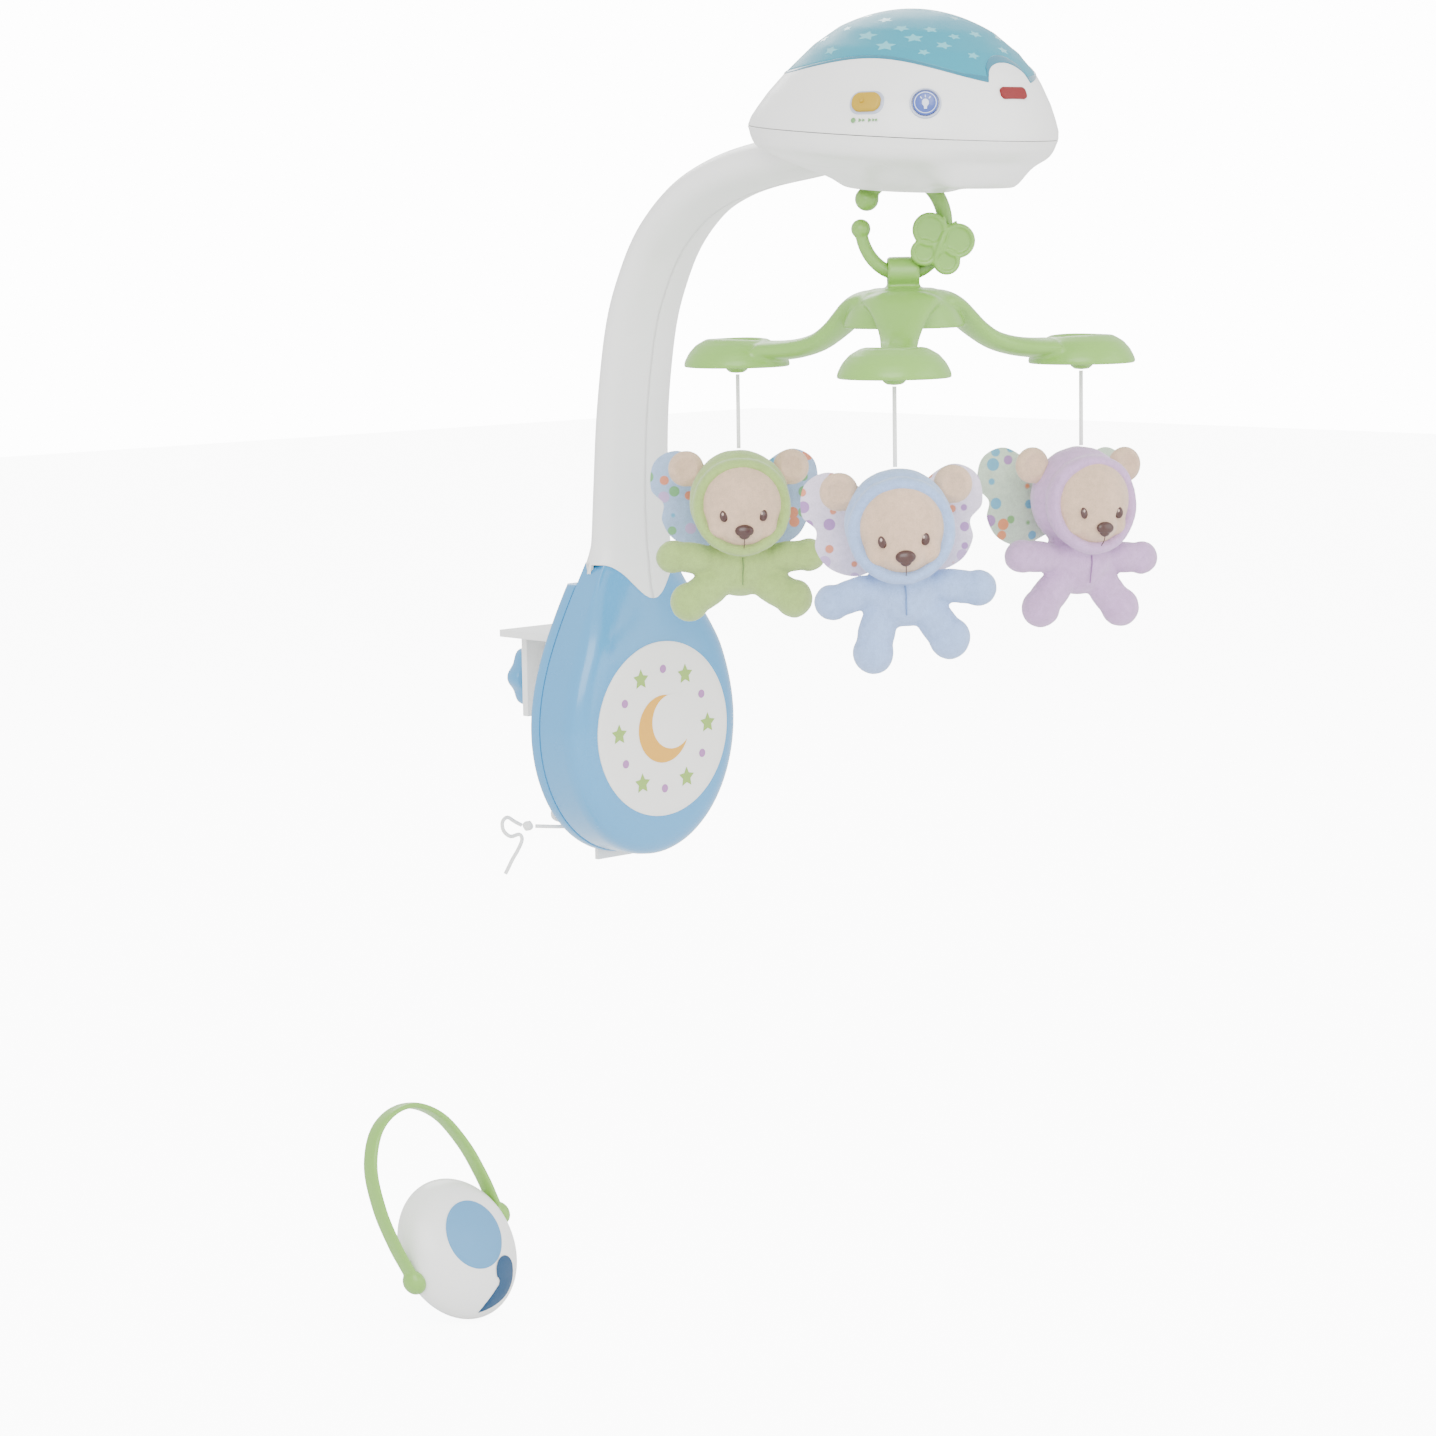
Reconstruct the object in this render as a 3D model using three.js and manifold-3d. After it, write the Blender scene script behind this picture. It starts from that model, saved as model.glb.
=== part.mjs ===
// Crib mobile: a rail clamp and base, a curved arm, a projector head whose motor turns a hanging
// ring, a three-arm hanger with three plush bears on strings, and a handheld remote.
// Millimetres, +Z up. The origin is on the underside of the clamp's hook, over the middle of the
// rail. X runs along the rail, and -Y points over the cot.
import * as THREE from "three";
import { mergeVertices } from "three/addons/utils/BufferGeometryUtils.js";
import Module from "manifold-3d";

const wasm = await Module();
wasm.setup();

// Driving dimensions
const GAP = 0.35; // clearance between pieces that touch
const WALL = 2.5; // moulded plastic wall

const RAIL = { halfThickness: 19.5, height: 71 };

const BASE = {
  halfWidth: 85.5,
  widestZ: -66,
  bottomZ: -166,
  topHalfWidth: 38,
  topZ: 60,
  backY: -23.6,
  splitY: -35,
  frontY: -80,
  crownDepth: 12,
  crownWidth: 16,
};
const LABEL = { radius: 67, thickness: 1, z: -67.5 };

const BRACKET = {
  halfWidth: 60,
  plate: 4,
  backY: 33,
  legPlate: 6,
  legBottomZ: -64,
  tabHalfWidth: 18,
  tabBottomZ: -173,
  screwZ: -38,
};
const CLAMP = { padSize: 34, padThickness: 5, screwRadius: 5, nutBore: 7.8, nutRadius: 13, screwLength: 34, knobRadius: 24, knobLength: 16 };

// Arm stations: y, z, half width along X, half depth across the bend
const ARM_STATIONS = [
  [-47, -40, 27, 13],
  [-47, 20, 31, 15.5],
  [-47.2, 57, 34.2, 17.5],
  [-47.6, 75, 37, 18],
  [-48.5, 115, 35.5, 16.8],
  [-52.4, 176, 33.5, 16.8],
  [-63, 237, 33, 17],
  [-78, 275, 32.5, 17],
  [-98, 306, 32, 17.2],
  [-128, 332, 31, 17.4],
  [-161, 347, 29, 17.4],
  [-198, 356, 27, 17],
  [-232, 361.5, 25, 16],
];
const ARM_WALL = 2.6;
const SPIGOT = { halfWidth: 15, halfHeight: 8, fromY: -206, toY: -262 };

const HEAD = { y: -336, z: 376.3, tilt: THREE.MathUtils.degToRad(4.6), lengthRatio: 1.14, noseShift: 9 };
// Head profiles: half width, height above the seam
const HEAD_LOWER = [[0, -40], [12, -40], [30, -38], [48, -33], [70, -25.5], [91.5, -17], [98.5, -8], [101, -GAP / 2]];
const FOOT_PROFILE = [[0, -35], [62, -35], [77, -32.5], [88, -17], [90, -8]];
const FOOT = { halfWidth: 32, fromY: -42 };
const HEAD_UPPER = [[101, GAP / 2], [100, 6], [96.5, 14], [91.5, 24], [83, 37.5]];
const LENS_DOME = [[82.6, 38], [77.5, 45], [66, 58], [50, 71], [38, 78.5], [24, 83], [10, 85.2], [0, 85.5]];
const WELL = { radius: 37, floorZ: 357 };

const CELL = { radius: 13.1, length: 50, x: 58, z: -4.5 };
const DOOR = { halfWidth: 15, halfLength: 52 };

// Wall points of the head's controls: place and outward normal
const BUTTON = { radius: 8.7, at: [-63.3, -417.7, 393.1], normal: [-0.685, -0.656, 0.317], length: 6 };
const SLIDER = { at: [-84.6, -383.7, 394.4], normal: [-0.857, -0.357, 0.372], width: 21, height: 14 };
const BADGE = { at: [-3.2, -443, 399.8], normal: [-0.038, -0.921, 0.387], width: 26, height: 9 };

const GEAR = { thickness: 5, tooth: 1.2, pinion: 5, small: 6, large: 19, output: 20, z: 360.5 };
const DRUM = { z: 402 };
const HOOK = { post: 7, ringZ: 346.5, bend: 9, wire: 2.6 };
const RING = { halfWidth: 29.6, halfHeight: 34.5, z: 312, tube: 5.6, startDeg: 184, endDeg: 508, ball: 8 };
// The ring, the charm and the hanger's lug lie in a plane at this angle to X
const RING_YAW = THREE.MathUtils.degToRad(-43.8);

const HANGER = { hubTopZ: 268, petalRadius: 145, stringRadius: 143.5, rimZ: 211, frontDeg: -139.2, armWidth: 30 };
const PETAL = { halfLength: 39, halfWidth: 37.5, height: 20.5 };
const STRING = { radius: 1.5, topZ: 206, bottomZ: 151.8 };
const BEAR_YAW_DEG = [-39, -41, -19]; // green, blue, lilac, measured from -Y

const FLOOR_Z = -486;
const REMOTE = {
  at: [-208.3, -71.2, -434.9],
  lean: THREE.MathUtils.degToRad(-22.6),
  roll: THREE.MathUtils.degToRad(-20),
  radii: [48, 28.7, 54],
  seamY: 12,
  handleForward: THREE.MathUtils.degToRad(12),
  pivotX: 51,
  padRadius: 26,
};

// Materials
const plastic = (color, roughness = 0.35) => new THREE.MeshStandardMaterial({ color, roughness, metalness: 0 });
const metal = (color, roughness = 0.35) => new THREE.MeshStandardMaterial({ color, roughness, metalness: 1 });
const fabric = (color) => new THREE.MeshStandardMaterial({ color, roughness: 0.95, metalness: 0 });
const WHITE = plastic(0xe9eaea);
const BLUE = plastic(0x8fb8da, 0.2);
const GREEN = plastic(0xa9d07f, 0.4);
const TEAL = plastic(0x3fb0c8, 0.25);
const STEEL = metal(0xb8babd);
const DARK = plastic(0x3a3d42, 0.6);

// Geometry helpers

/** A closed three.js geometry as a manifold solid. */
function solid(geometry) {
  const bare = geometry.index ? geometry.toNonIndexed() : geometry.clone();
  bare.deleteAttribute("normal");
  bare.deleteAttribute("uv");
  const merged = mergeVertices(bare, 1e-3);
  return new wasm.Manifold(
    new wasm.Mesh({
      numProp: 3,
      vertProperties: merged.attributes.position.array,
      triVerts: new Uint32Array(merged.index.array),
    }),
  );
}

/** A manifold solid as a three.js geometry. */
function geometryOf(body) {
  const mesh = body.getMesh();
  const geometry = new THREE.BufferGeometry();
  const points = new Float32Array(mesh.numVert * 3);
  for (let i = 0; i < mesh.numVert; i++) {
    points.set(mesh.vertProperties.subarray(i * mesh.numProp, i * mesh.numProp + 3), i * 3);
  }
  geometry.setAttribute("position", new THREE.BufferAttribute(points, 3));
  geometry.setIndex(new THREE.BufferAttribute(mesh.triVerts, 1));
  return geometry;
}

/** Joins solids into one. */
const join = (...bodies) => bodies.reduce((sum, body) => sum.add(body));

/** Takes every later solid away from the first. */
const cut = (body, ...tools) => tools.reduce((rest, tool) => rest.subtract(tool), body);

/** A box solid between two corners. */
function box(low, high) {
  const size = high.map((v, i) => v - low[i]);
  const geometry = new THREE.BoxGeometry(...size);
  geometry.translate(...low.map((v, i) => v + size[i] / 2));
  return solid(geometry);
}

/** A cylinder solid along an axis ("x", "y" or "z") from one height to another. */
function rod(axis, radius, from, to, centre = [0, 0, 0], segments = 24) {
  const geometry = new THREE.CylinderGeometry(radius, radius, to - from, segments);
  geometry.translate(0, (from + to) / 2, 0);
  if (axis === "x") geometry.rotateZ(-Math.PI / 2);
  if (axis === "z") geometry.rotateX(Math.PI / 2);
  geometry.translate(...centre);
  return solid(geometry);
}

/** An ellipsoid solid. */
function ellipsoid(radii, centre, segments = 16) {
  const geometry = new THREE.SphereGeometry(1, segments, Math.round(segments * 0.6));
  geometry.rotateX(Math.PI / 2);
  geometry.scale(...radii);
  geometry.translate(...centre);
  return solid(geometry);
}

/** Closed rings of points, each given as an array of Vector3, skinned into one solid. */
function loft(rings) {
  const count = rings[0].length;
  const positions = [];
  const index = [];
  rings.forEach((ring) => ring.forEach((p) => positions.push(p.x, p.y, p.z)));
  for (let i = 0; i < rings.length - 1; i++) {
    for (let j = 0; j < count; j++) {
      const a = i * count + j;
      const b = i * count + ((j + 1) % count);
      index.push(a, b, b + count, a, b + count, a + count);
    }
  }
  [0, rings.length - 1].forEach((i) => {
    const middle = rings[i].reduce((sum, p) => sum.add(p), new THREE.Vector3()).divideScalar(count);
    const centre = positions.length / 3;
    positions.push(middle.x, middle.y, middle.z);
    for (let j = 0; j < count; j++) {
      const a = i * count + j;
      const b = i * count + ((j + 1) % count);
      index.push(...(i === 0 ? [centre, b, a] : [centre, a, b]));
    }
  });
  const geometry = new THREE.BufferGeometry();
  geometry.setAttribute("position", new THREE.Float32BufferAttribute(positions, 3));
  geometry.setIndex(index);
  return solid(geometry);
}

/** A shape drawn in X and Z, extruded along Y between two places. */
function platedAlongY(shape, backY, frontY, curveSegments = 8) {
  const geometry = new THREE.ExtrudeGeometry(shape, { depth: backY - frontY, bevelEnabled: false, curveSegments });
  geometry.rotateX(Math.PI / 2);
  geometry.translate(0, backY, 0);
  return solid(geometry);
}

/** A lathe of half widths and heights, stretched along Y into the head's egg plan. */
function headLathe(profile, segments = 32) {
  const points = profile.map(([r, z]) => new THREE.Vector2(r, z));
  if (points[0].x > 0) points.unshift(new THREE.Vector2(0, points[0].y));
  if (points.at(-1).x > 0) points.push(new THREE.Vector2(0, points.at(-1).y));
  const geometry = new THREE.LatheGeometry(points, segments);
  geometry.rotateX(Math.PI / 2);
  geometry.scale(1, HEAD.lengthRatio, 1);
  const p = geometry.attributes.position;
  for (let i = 0; i < p.count; i++) {
    const share = THREE.MathUtils.clamp(p.getZ(i) / 45, 0, 1);
    p.setY(i, p.getY(i) - HEAD.noseShift * share);
  }
  return solid(geometry);
}

/** The profile moved inwards by a wall. */
const inset = (profile, wall) => profile.map(([r, z]) => [Math.max(0, r - wall), z]);

/** A tube of one section along a curve. */
function tube(points, radius, steps, sides = 10, closed = false) {
  const path = new THREE.CatmullRomCurve3(points.map((p) => new THREE.Vector3(...p)), closed);
  const section = new THREE.Shape(
    Array.from({ length: sides }, (_, i) => {
      const a = (i / sides) * 2 * Math.PI;
      return new THREE.Vector2(radius * Math.cos(a), radius * Math.sin(a));
    }),
  );
  return solid(new THREE.ExtrudeGeometry(section, { steps, extrudePath: path, bevelEnabled: false }));
}

/** Turns and moves a solid: points local +Z along a normal, with local +X kept level. */
function onWall(body, at, normal) {
  const z = new THREE.Vector3(...normal).normalize();
  const x = new THREE.Vector3(0, 0, 1).cross(z).normalize();
  const y = z.clone().cross(x);
  const matrix = new THREE.Matrix4().makeBasis(x, y, z).setPosition(...at);
  const geometry = geometryOf(body).applyMatrix4(matrix);
  return solid(geometry);
}

const group = new THREE.Group();

/** Adds a named mesh to a group. */
function add(name, body, material, parent = group) {
  const mesh = new THREE.Mesh(geometryOf(body), material);
  mesh.name = name;
  parent.add(mesh);
  return mesh;
}

// Base

/** The base's teardrop outline in X and Z, moved inwards. */
function teardrop(insetBy) {
  const w = BASE.halfWidth - insetBy;
  const t = BASE.topHalfWidth - insetBy;
  const bottom = BASE.bottomZ + insetBy;
  const shape = new THREE.Shape();
  const rx = w;
  const rz = BASE.widestZ - bottom;
  shape.moveTo(-w, BASE.widestZ);
  shape.absellipse(0, BASE.widestZ, rx, rz, Math.PI, 2 * Math.PI, false);
  shape.bezierCurveTo(w, -22, 60 - insetBy, 20, t, BASE.topZ - insetBy);
  shape.lineTo(-t, BASE.topZ - insetBy);
  shape.bezierCurveTo(-60 + insetBy, 20, -w, -22, -w, BASE.widestZ);
  return shape;
}

/** A teardrop body from a back plane to a crowned front. */
function teardropBody(insetBy, backY, frontY) {
  const geometry = new THREE.ExtrudeGeometry(teardrop(insetBy), {
    depth: 70,
    bevelEnabled: true,
    bevelThickness: BASE.crownDepth,
    bevelSize: BASE.crownWidth,
    bevelOffset: -BASE.crownWidth,
    bevelSegments: 3,
    curveSegments: 9,
  });
  geometry.rotateX(Math.PI / 2);
  geometry.translate(0, frontY + BASE.crownDepth + 70, 0);
  return solid(geometry).intersect(box([-100, frontY - 5, -200], [100, backY, 100]));
}

/** The arm's outer form, grown by a clearance, from its stations. */
function armForm(grow, first = 0, last = ARM_STATIONS.length - 1) {
  const sides = 20;
  const rings = ARM_STATIONS.slice(first, last + 1).map(([y, z, halfWidth, halfDepth], i, list) => {
    const before = list[Math.max(0, i - 1)];
    const after = list[Math.min(list.length - 1, i + 1)];
    const along = new THREE.Vector2(after[0] - before[0], after[1] - before[1]).normalize();
    const across = new THREE.Vector2(along.y, -along.x);
    return Array.from({ length: sides }, (_, j) => {
      const a = (j / sides) * 2 * Math.PI;
      const u = (halfWidth + grow) * Math.cos(a);
      const v = (halfDepth + grow) * Math.sin(a);
      return new THREE.Vector3(u, y + v * across.x, z + v * across.y);
    });
  });
  return loft(rings);
}

function buildBase() {
  const armRoom = armForm(GAP, 0, 4);
  const notch = rod("y", 26, -120, -47, [0, 0, 58], 28);
  const outer = teardropBody(0, BASE.splitY - GAP, BASE.frontY);
  const inner = teardropBody(WALL, BASE.splitY + 20, BASE.frontY + WALL);
  const labelRecess = rod("y", LABEL.radius + GAP, BASE.frontY - 1, BASE.frontY + LABEL.thickness, [0, 0, LABEL.z], 40);
  add("base_front_cover", cut(outer, inner, armRoom, notch, labelRecess), BLUE);

  const label = rod("y", LABEL.radius, BASE.frontY, BASE.frontY + LABEL.thickness - GAP, [0, 0, LABEL.z], 40);
  add("base_label", label, plastic(0xf4f2ea, 0.5));

  const backOuter = platedAlongY(teardrop(-1.2), BASE.backY, BASE.splitY);
  const backInner = platedAlongY(teardrop(WALL + 1), BASE.backY - WALL, BASE.splitY - 1);
  const sockets = [-40, 40].map((x) => rod("y", 4.5, BASE.splitY, BASE.backY - 1, [x, 0, -110], 12));
  const clamp = box([-30, BASE.splitY + GAP, -60], [30, BASE.backY - 1, -42]);
  const tray = cut(join(cut(backOuter, backInner), clamp, ...sockets), armRoom);
  add("base_back_housing", tray, BLUE);

  ["left", "right"].forEach((side, i) => {
    const screw = rod("y", 2.2, BASE.splitY - GAP - 30, BASE.splitY - GAP, [i === 0 ? -40 : 40, 0, -110], 12);
    add(`base_screw_${side}`, screw, STEEL);
  });
}

function buildArm() {
  const shell = cut(armForm(0), armForm(-ARM_WALL, 0, ARM_STATIONS.length - 2), box([-80, -90, -60], [80, 0, -38]));
  const spigotRoom = box(
    [-SPIGOT.halfWidth - GAP, SPIGOT.toY, 360.5 - SPIGOT.halfHeight - GAP],
    [SPIGOT.halfWidth + GAP, SPIGOT.fromY + 8, 360.5 + SPIGOT.halfHeight + GAP],
  );
  const open = cut(shell, spigotRoom);
  const far = 300;
  add("arm_left_half", open.intersect(box([-far, -far, -far], [-GAP / 2, far, 2 * far])), WHITE);
  add("arm_right_half", open.intersect(box([GAP / 2, -far, -far], [far, far, 2 * far])), WHITE);
  const spigot = box(
    [-SPIGOT.halfWidth, SPIGOT.toY, 360.5 - SPIGOT.halfHeight],
    [SPIGOT.halfWidth, SPIGOT.fromY, 360.5 + SPIGOT.halfHeight],
  );
  add("arm_spigot", spigot.subtract(box([-10, SPIGOT.toY - 1, 356], [10, SPIGOT.toY + 20, 365])), DARK);
}

function buildClamp() {
  const { halfWidth: w, plate, backY, legPlate } = BRACKET;
  const front = box([-50, BASE.backY + GAP, -120], [50, -RAIL.halfThickness, 0]);
  const lower = box([-BRACKET.tabHalfWidth, BASE.backY + GAP, BRACKET.tabBottomZ], [BRACKET.tabHalfWidth, -RAIL.halfThickness, -110]);
  const top = box([-w, BASE.backY + GAP, 0], [w, backY + legPlate, plate + 1.5]);
  const leg = box([-38, backY, BRACKET.legBottomZ], [38, backY + legPlate, 2]);
  const nutSeat = rod("y", CLAMP.nutRadius + GAP, 0, 80, [0, 0, BRACKET.screwZ]);
  const slots = [-1, 1].map((side) => box([side * 44 - 2.5, -40, -116], [side * 44 + 2.5, 0, -104]));
  add("clamp_bracket", cut(join(front, lower, top, leg), nutSeat, ...slots), WHITE);
  const nut = rod("y", CLAMP.nutRadius, backY - 4, backY + legPlate + 4, [0, 0, BRACKET.screwZ]);
  add("clamp_nut", nut.subtract(rod("y", CLAMP.nutBore, 0, 80, [0, 0, BRACKET.screwZ])), WHITE);

  const padFrom = RAIL.halfThickness + GAP;
  const padTo = padFrom + CLAMP.padThickness;
  const pad = box([-CLAMP.padSize / 2, padFrom, BRACKET.screwZ - 15], [CLAMP.padSize / 2, padTo, BRACKET.screwZ + 15]);
  add("clamp_pad", pad, DARK);
  const screwFrom = padTo + GAP;
  const screwTo = screwFrom + CLAMP.screwLength;
  add("clamp_screw", rod("y", CLAMP.screwRadius, screwFrom, screwTo, [0, 0, BRACKET.screwZ], 20), WHITE);
  const knobFrom = screwTo + GAP;
  const lobes = Array.from({ length: 6 }, (_, i) => {
    const a = (i / 6) * 2 * Math.PI;
    const at = [CLAMP.knobRadius * Math.cos(a) * 0.78, 0, BRACKET.screwZ + CLAMP.knobRadius * Math.sin(a) * 0.78];
    return rod("y", 6.5, knobFrom, knobFrom + CLAMP.knobLength, at, 10);
  });
  const core = rod("y", CLAMP.knobRadius * 0.78, knobFrom, knobFrom + CLAMP.knobLength, [0, 0, BRACKET.screwZ]);
  add("clamp_knob", join(core, ...lobes), BLUE);
}

// The tie cord's route: out of the bracket's slot, round the place of a spindle and back to a knot
const TIE_CORD = [
  [-44, -22.8, -110], [-44.5, -17, -113], [-46, -8, -124], [-42, 2, -136], [-32, 10, -143], [-26, 3, -145],
  [-26, -8, -145.5], [-33, -15.5, -145], [-43, -17, -144.5], [-52, -13.5, -144], [-59, -8, -143.5], [-65, -4, -143],
];
const TIE_KNOT = [-70, -1, -142.5];
const TIE_BOW = [
  [-75, 1, -141.5], [-81, 2, -138], [-88, 2, -134], [-93, 2, -137], [-92, 2, -144], [-86, 1, -149],
  [-79, -1, -148], [-78, -3, -152], [-82, -3, -159], [-87, -2, -166], [-91, -1, -173], [-93, 0, -177],
];
const CORD_RADIUS = 1.5;

function buildTieCord() {
  const knot = ellipsoid([4.4, 3.6, 4.2], TIE_KNOT, 12);
  add("tie_cord", join(tube([...TIE_CORD, [-67, -2.5, -142.7]], CORD_RADIUS, 32, 8), knot), fabric(0xf3f3f1));
  add("tie_bow", tube(TIE_BOW, CORD_RADIUS, 36, 8), fabric(0xf3f3f1));
}

// Head

const headFrame = new THREE.Matrix4().makeRotationX(HEAD.tilt).setPosition(0, HEAD.y, HEAD.z);

/** A solid built in the head's tilted frame, in its place. */
const inHead = (body) => solid(geometryOf(body).applyMatrix4(headFrame));

/** The part of a solid within a door's outline on one side, grown by a clearance. */
function doorBox(side, grow) {
  const low = [side * CELL.x - DOOR.halfWidth - grow, -DOOR.halfLength - grow, -60];
  const high = [side * CELL.x + DOOR.halfWidth + grow, DOOR.halfLength + grow, -14];
  return inHead(box(low, high));
}

function buildHeadShells() {
  const wellWall = rod("z", WELL.radius + WALL, 330, WELL.floorZ + WALL, [0, HEAD.y, 0], 32);
  const wellRoom = rod("z", WELL.radius, 320, WELL.floorZ, [0, HEAD.y, 0], 32);
  const shaftHole = rod("z", HOOK.post + 1, 340, 380, [0, HEAD.y, 0], 20);
  const lowerOuter = inHead(headLathe(HEAD_LOWER));
  const lowerInner = inHead(headLathe([...inset(HEAD_LOWER, WALL).map(([r, z]) => [r, z + WALL]), [98.5, 5]]));
  const armRoom = join(armForm(0.8, 10), box([-27, -240, 300], [27, -205, 360]));
  const spigotRoom = box(
    [-SPIGOT.halfWidth - 0.6, SPIGOT.toY - 1, 360.5 - SPIGOT.halfHeight - 0.6],
    [SPIGOT.halfWidth + 0.6, SPIGOT.fromY + 30, 360.5 + SPIGOT.halfHeight + 0.6],
  );
  const socketWall = inHead(box([-22, 48, -39], [22, 104, -2])).intersect(lowerOuter);
  const footZone = inHead(box([-FOOT.halfWidth, -130, -60], [FOOT.halfWidth, FOOT.fromY, 0]));
  const footInnerZone = inHead(box([WALL - FOOT.halfWidth, -130, -60], [FOOT.halfWidth - WALL, FOOT.fromY - WALL, 0]));
  const foot = inHead(headLathe(FOOT_PROFILE)).intersect(footZone);
  const footInner = inHead(headLathe(inset(FOOT_PROFILE, WALL).map(([r, z]) => [r, z + WALL]))).intersect(footInnerZone);
  let lower = cut(lowerOuter.add(foot), lowerInner, footInner);
  const wellHole = rod("z", WELL.radius + WALL + GAP, 300, 400, [0, HEAD.y, 0], 32);
  lower = cut(join(lower, socketWall), wellHole, armRoom, spigotRoom);
  add("ring_well", cut(wellWall.intersect(lowerOuter), wellRoom, shaftHole, armRoom, spigotRoom), WHITE);
  [-1, 1].forEach((side, i) => {
    const doorway = doorBox(side, GAP);
    const leaf = cut(lowerOuter, lowerInner).intersect(doorBox(side, 0));
    lower = cut(lower, doorway);
    add(`battery_door_${i + 1}`, leaf, WHITE);
  });
  add("head_lower_shell", lower, WHITE);

  const upperOuter = inHead(headLathe(HEAD_UPPER));
  const upperInner = inHead(headLathe([[98.5, -5], ...inset(HEAD_UPPER, WALL), [80.5, 50]]));
  const holes = [
    onWall(rod("z", BUTTON.radius + 1.9, -14, 14), BUTTON.at, BUTTON.normal),
    onWall(box([-14.5, -9.5, -12], [14.5, 9.5, 12]), SLIDER.at, SLIDER.normal),
    onWall(box([-BADGE.width / 2 - GAP, -BADGE.height / 2 - GAP, -0.8], [BADGE.width / 2 + GAP, BADGE.height / 2 + GAP, 9]), BADGE.at, BADGE.normal),
  ];
  add("head_upper_shell", cut(upperOuter, upperInner, ...holes), WHITE);
}

function buildLens() {
  const outer = inHead(headLathe(LENS_DOME));
  const inner = inHead(headLathe([[80, 30], ...inset(LENS_DOME, 2.2).map(([r, z]) => [r, z - 2.2])]));
  add("projector_lens", outer.subtract(inner), plastic(0x8fd0e2, 0.15));
  const rim = headLathe([[79.6, 33.5], [79.6, 37]]).subtract(headLathe([[74, 30], [74, 40]]));
  add("lens_rim", inHead(rim), TEAL);
}

function buildControls() {
  const button = rod("z", BUTTON.radius, -BUTTON.length, 1.5);
  add("light_button", onWall(button, BUTTON.at, BUTTON.normal), plastic(0x7b93d6, 0.3));
  const bezel = cut(rod("z", BUTTON.radius + 1.5, -4, 0.8), rod("z", BUTTON.radius + 0.5, -9, 9));
  add("button_bezel", onWall(bezel, BUTTON.at, BUTTON.normal), plastic(0xd8dce8, 0.3));
  const knob = box([-SLIDER.width / 2, -SLIDER.height / 2, -4], [SLIDER.width / 2, SLIDER.height / 2, 2.4]);
  add("slider_switch", onWall(knob, SLIDER.at, SLIDER.normal), plastic(0xe6c22e, 0.3));
  const badge = box([-BADGE.width / 2, -BADGE.height / 2, -0.4], [BADGE.width / 2, BADGE.height / 2, 1]);
  add("front_badge", onWall(badge, BADGE.at, BADGE.normal), plastic(0xc42a33, 0.35));
}

/** A gear blank with short teeth, along Z. */
function gear(radius, from, to, at) {
  const teeth = Math.round(radius);
  const outline = Array.from({ length: teeth * 4 }, (_, i) => {
    const a = ((i + 0.5) / (teeth * 4)) * 2 * Math.PI;
    const r = i % 4 < 2 ? radius : radius - GEAR.tooth;
    return new THREE.Vector2(r * Math.cos(a), r * Math.sin(a));
  });
  const geometry = new THREE.ExtrudeGeometry(new THREE.Shape(outline), { depth: to - from, bevelEnabled: false });
  geometry.translate(at[0], at[1], from);
  return solid(geometry);
}

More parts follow.
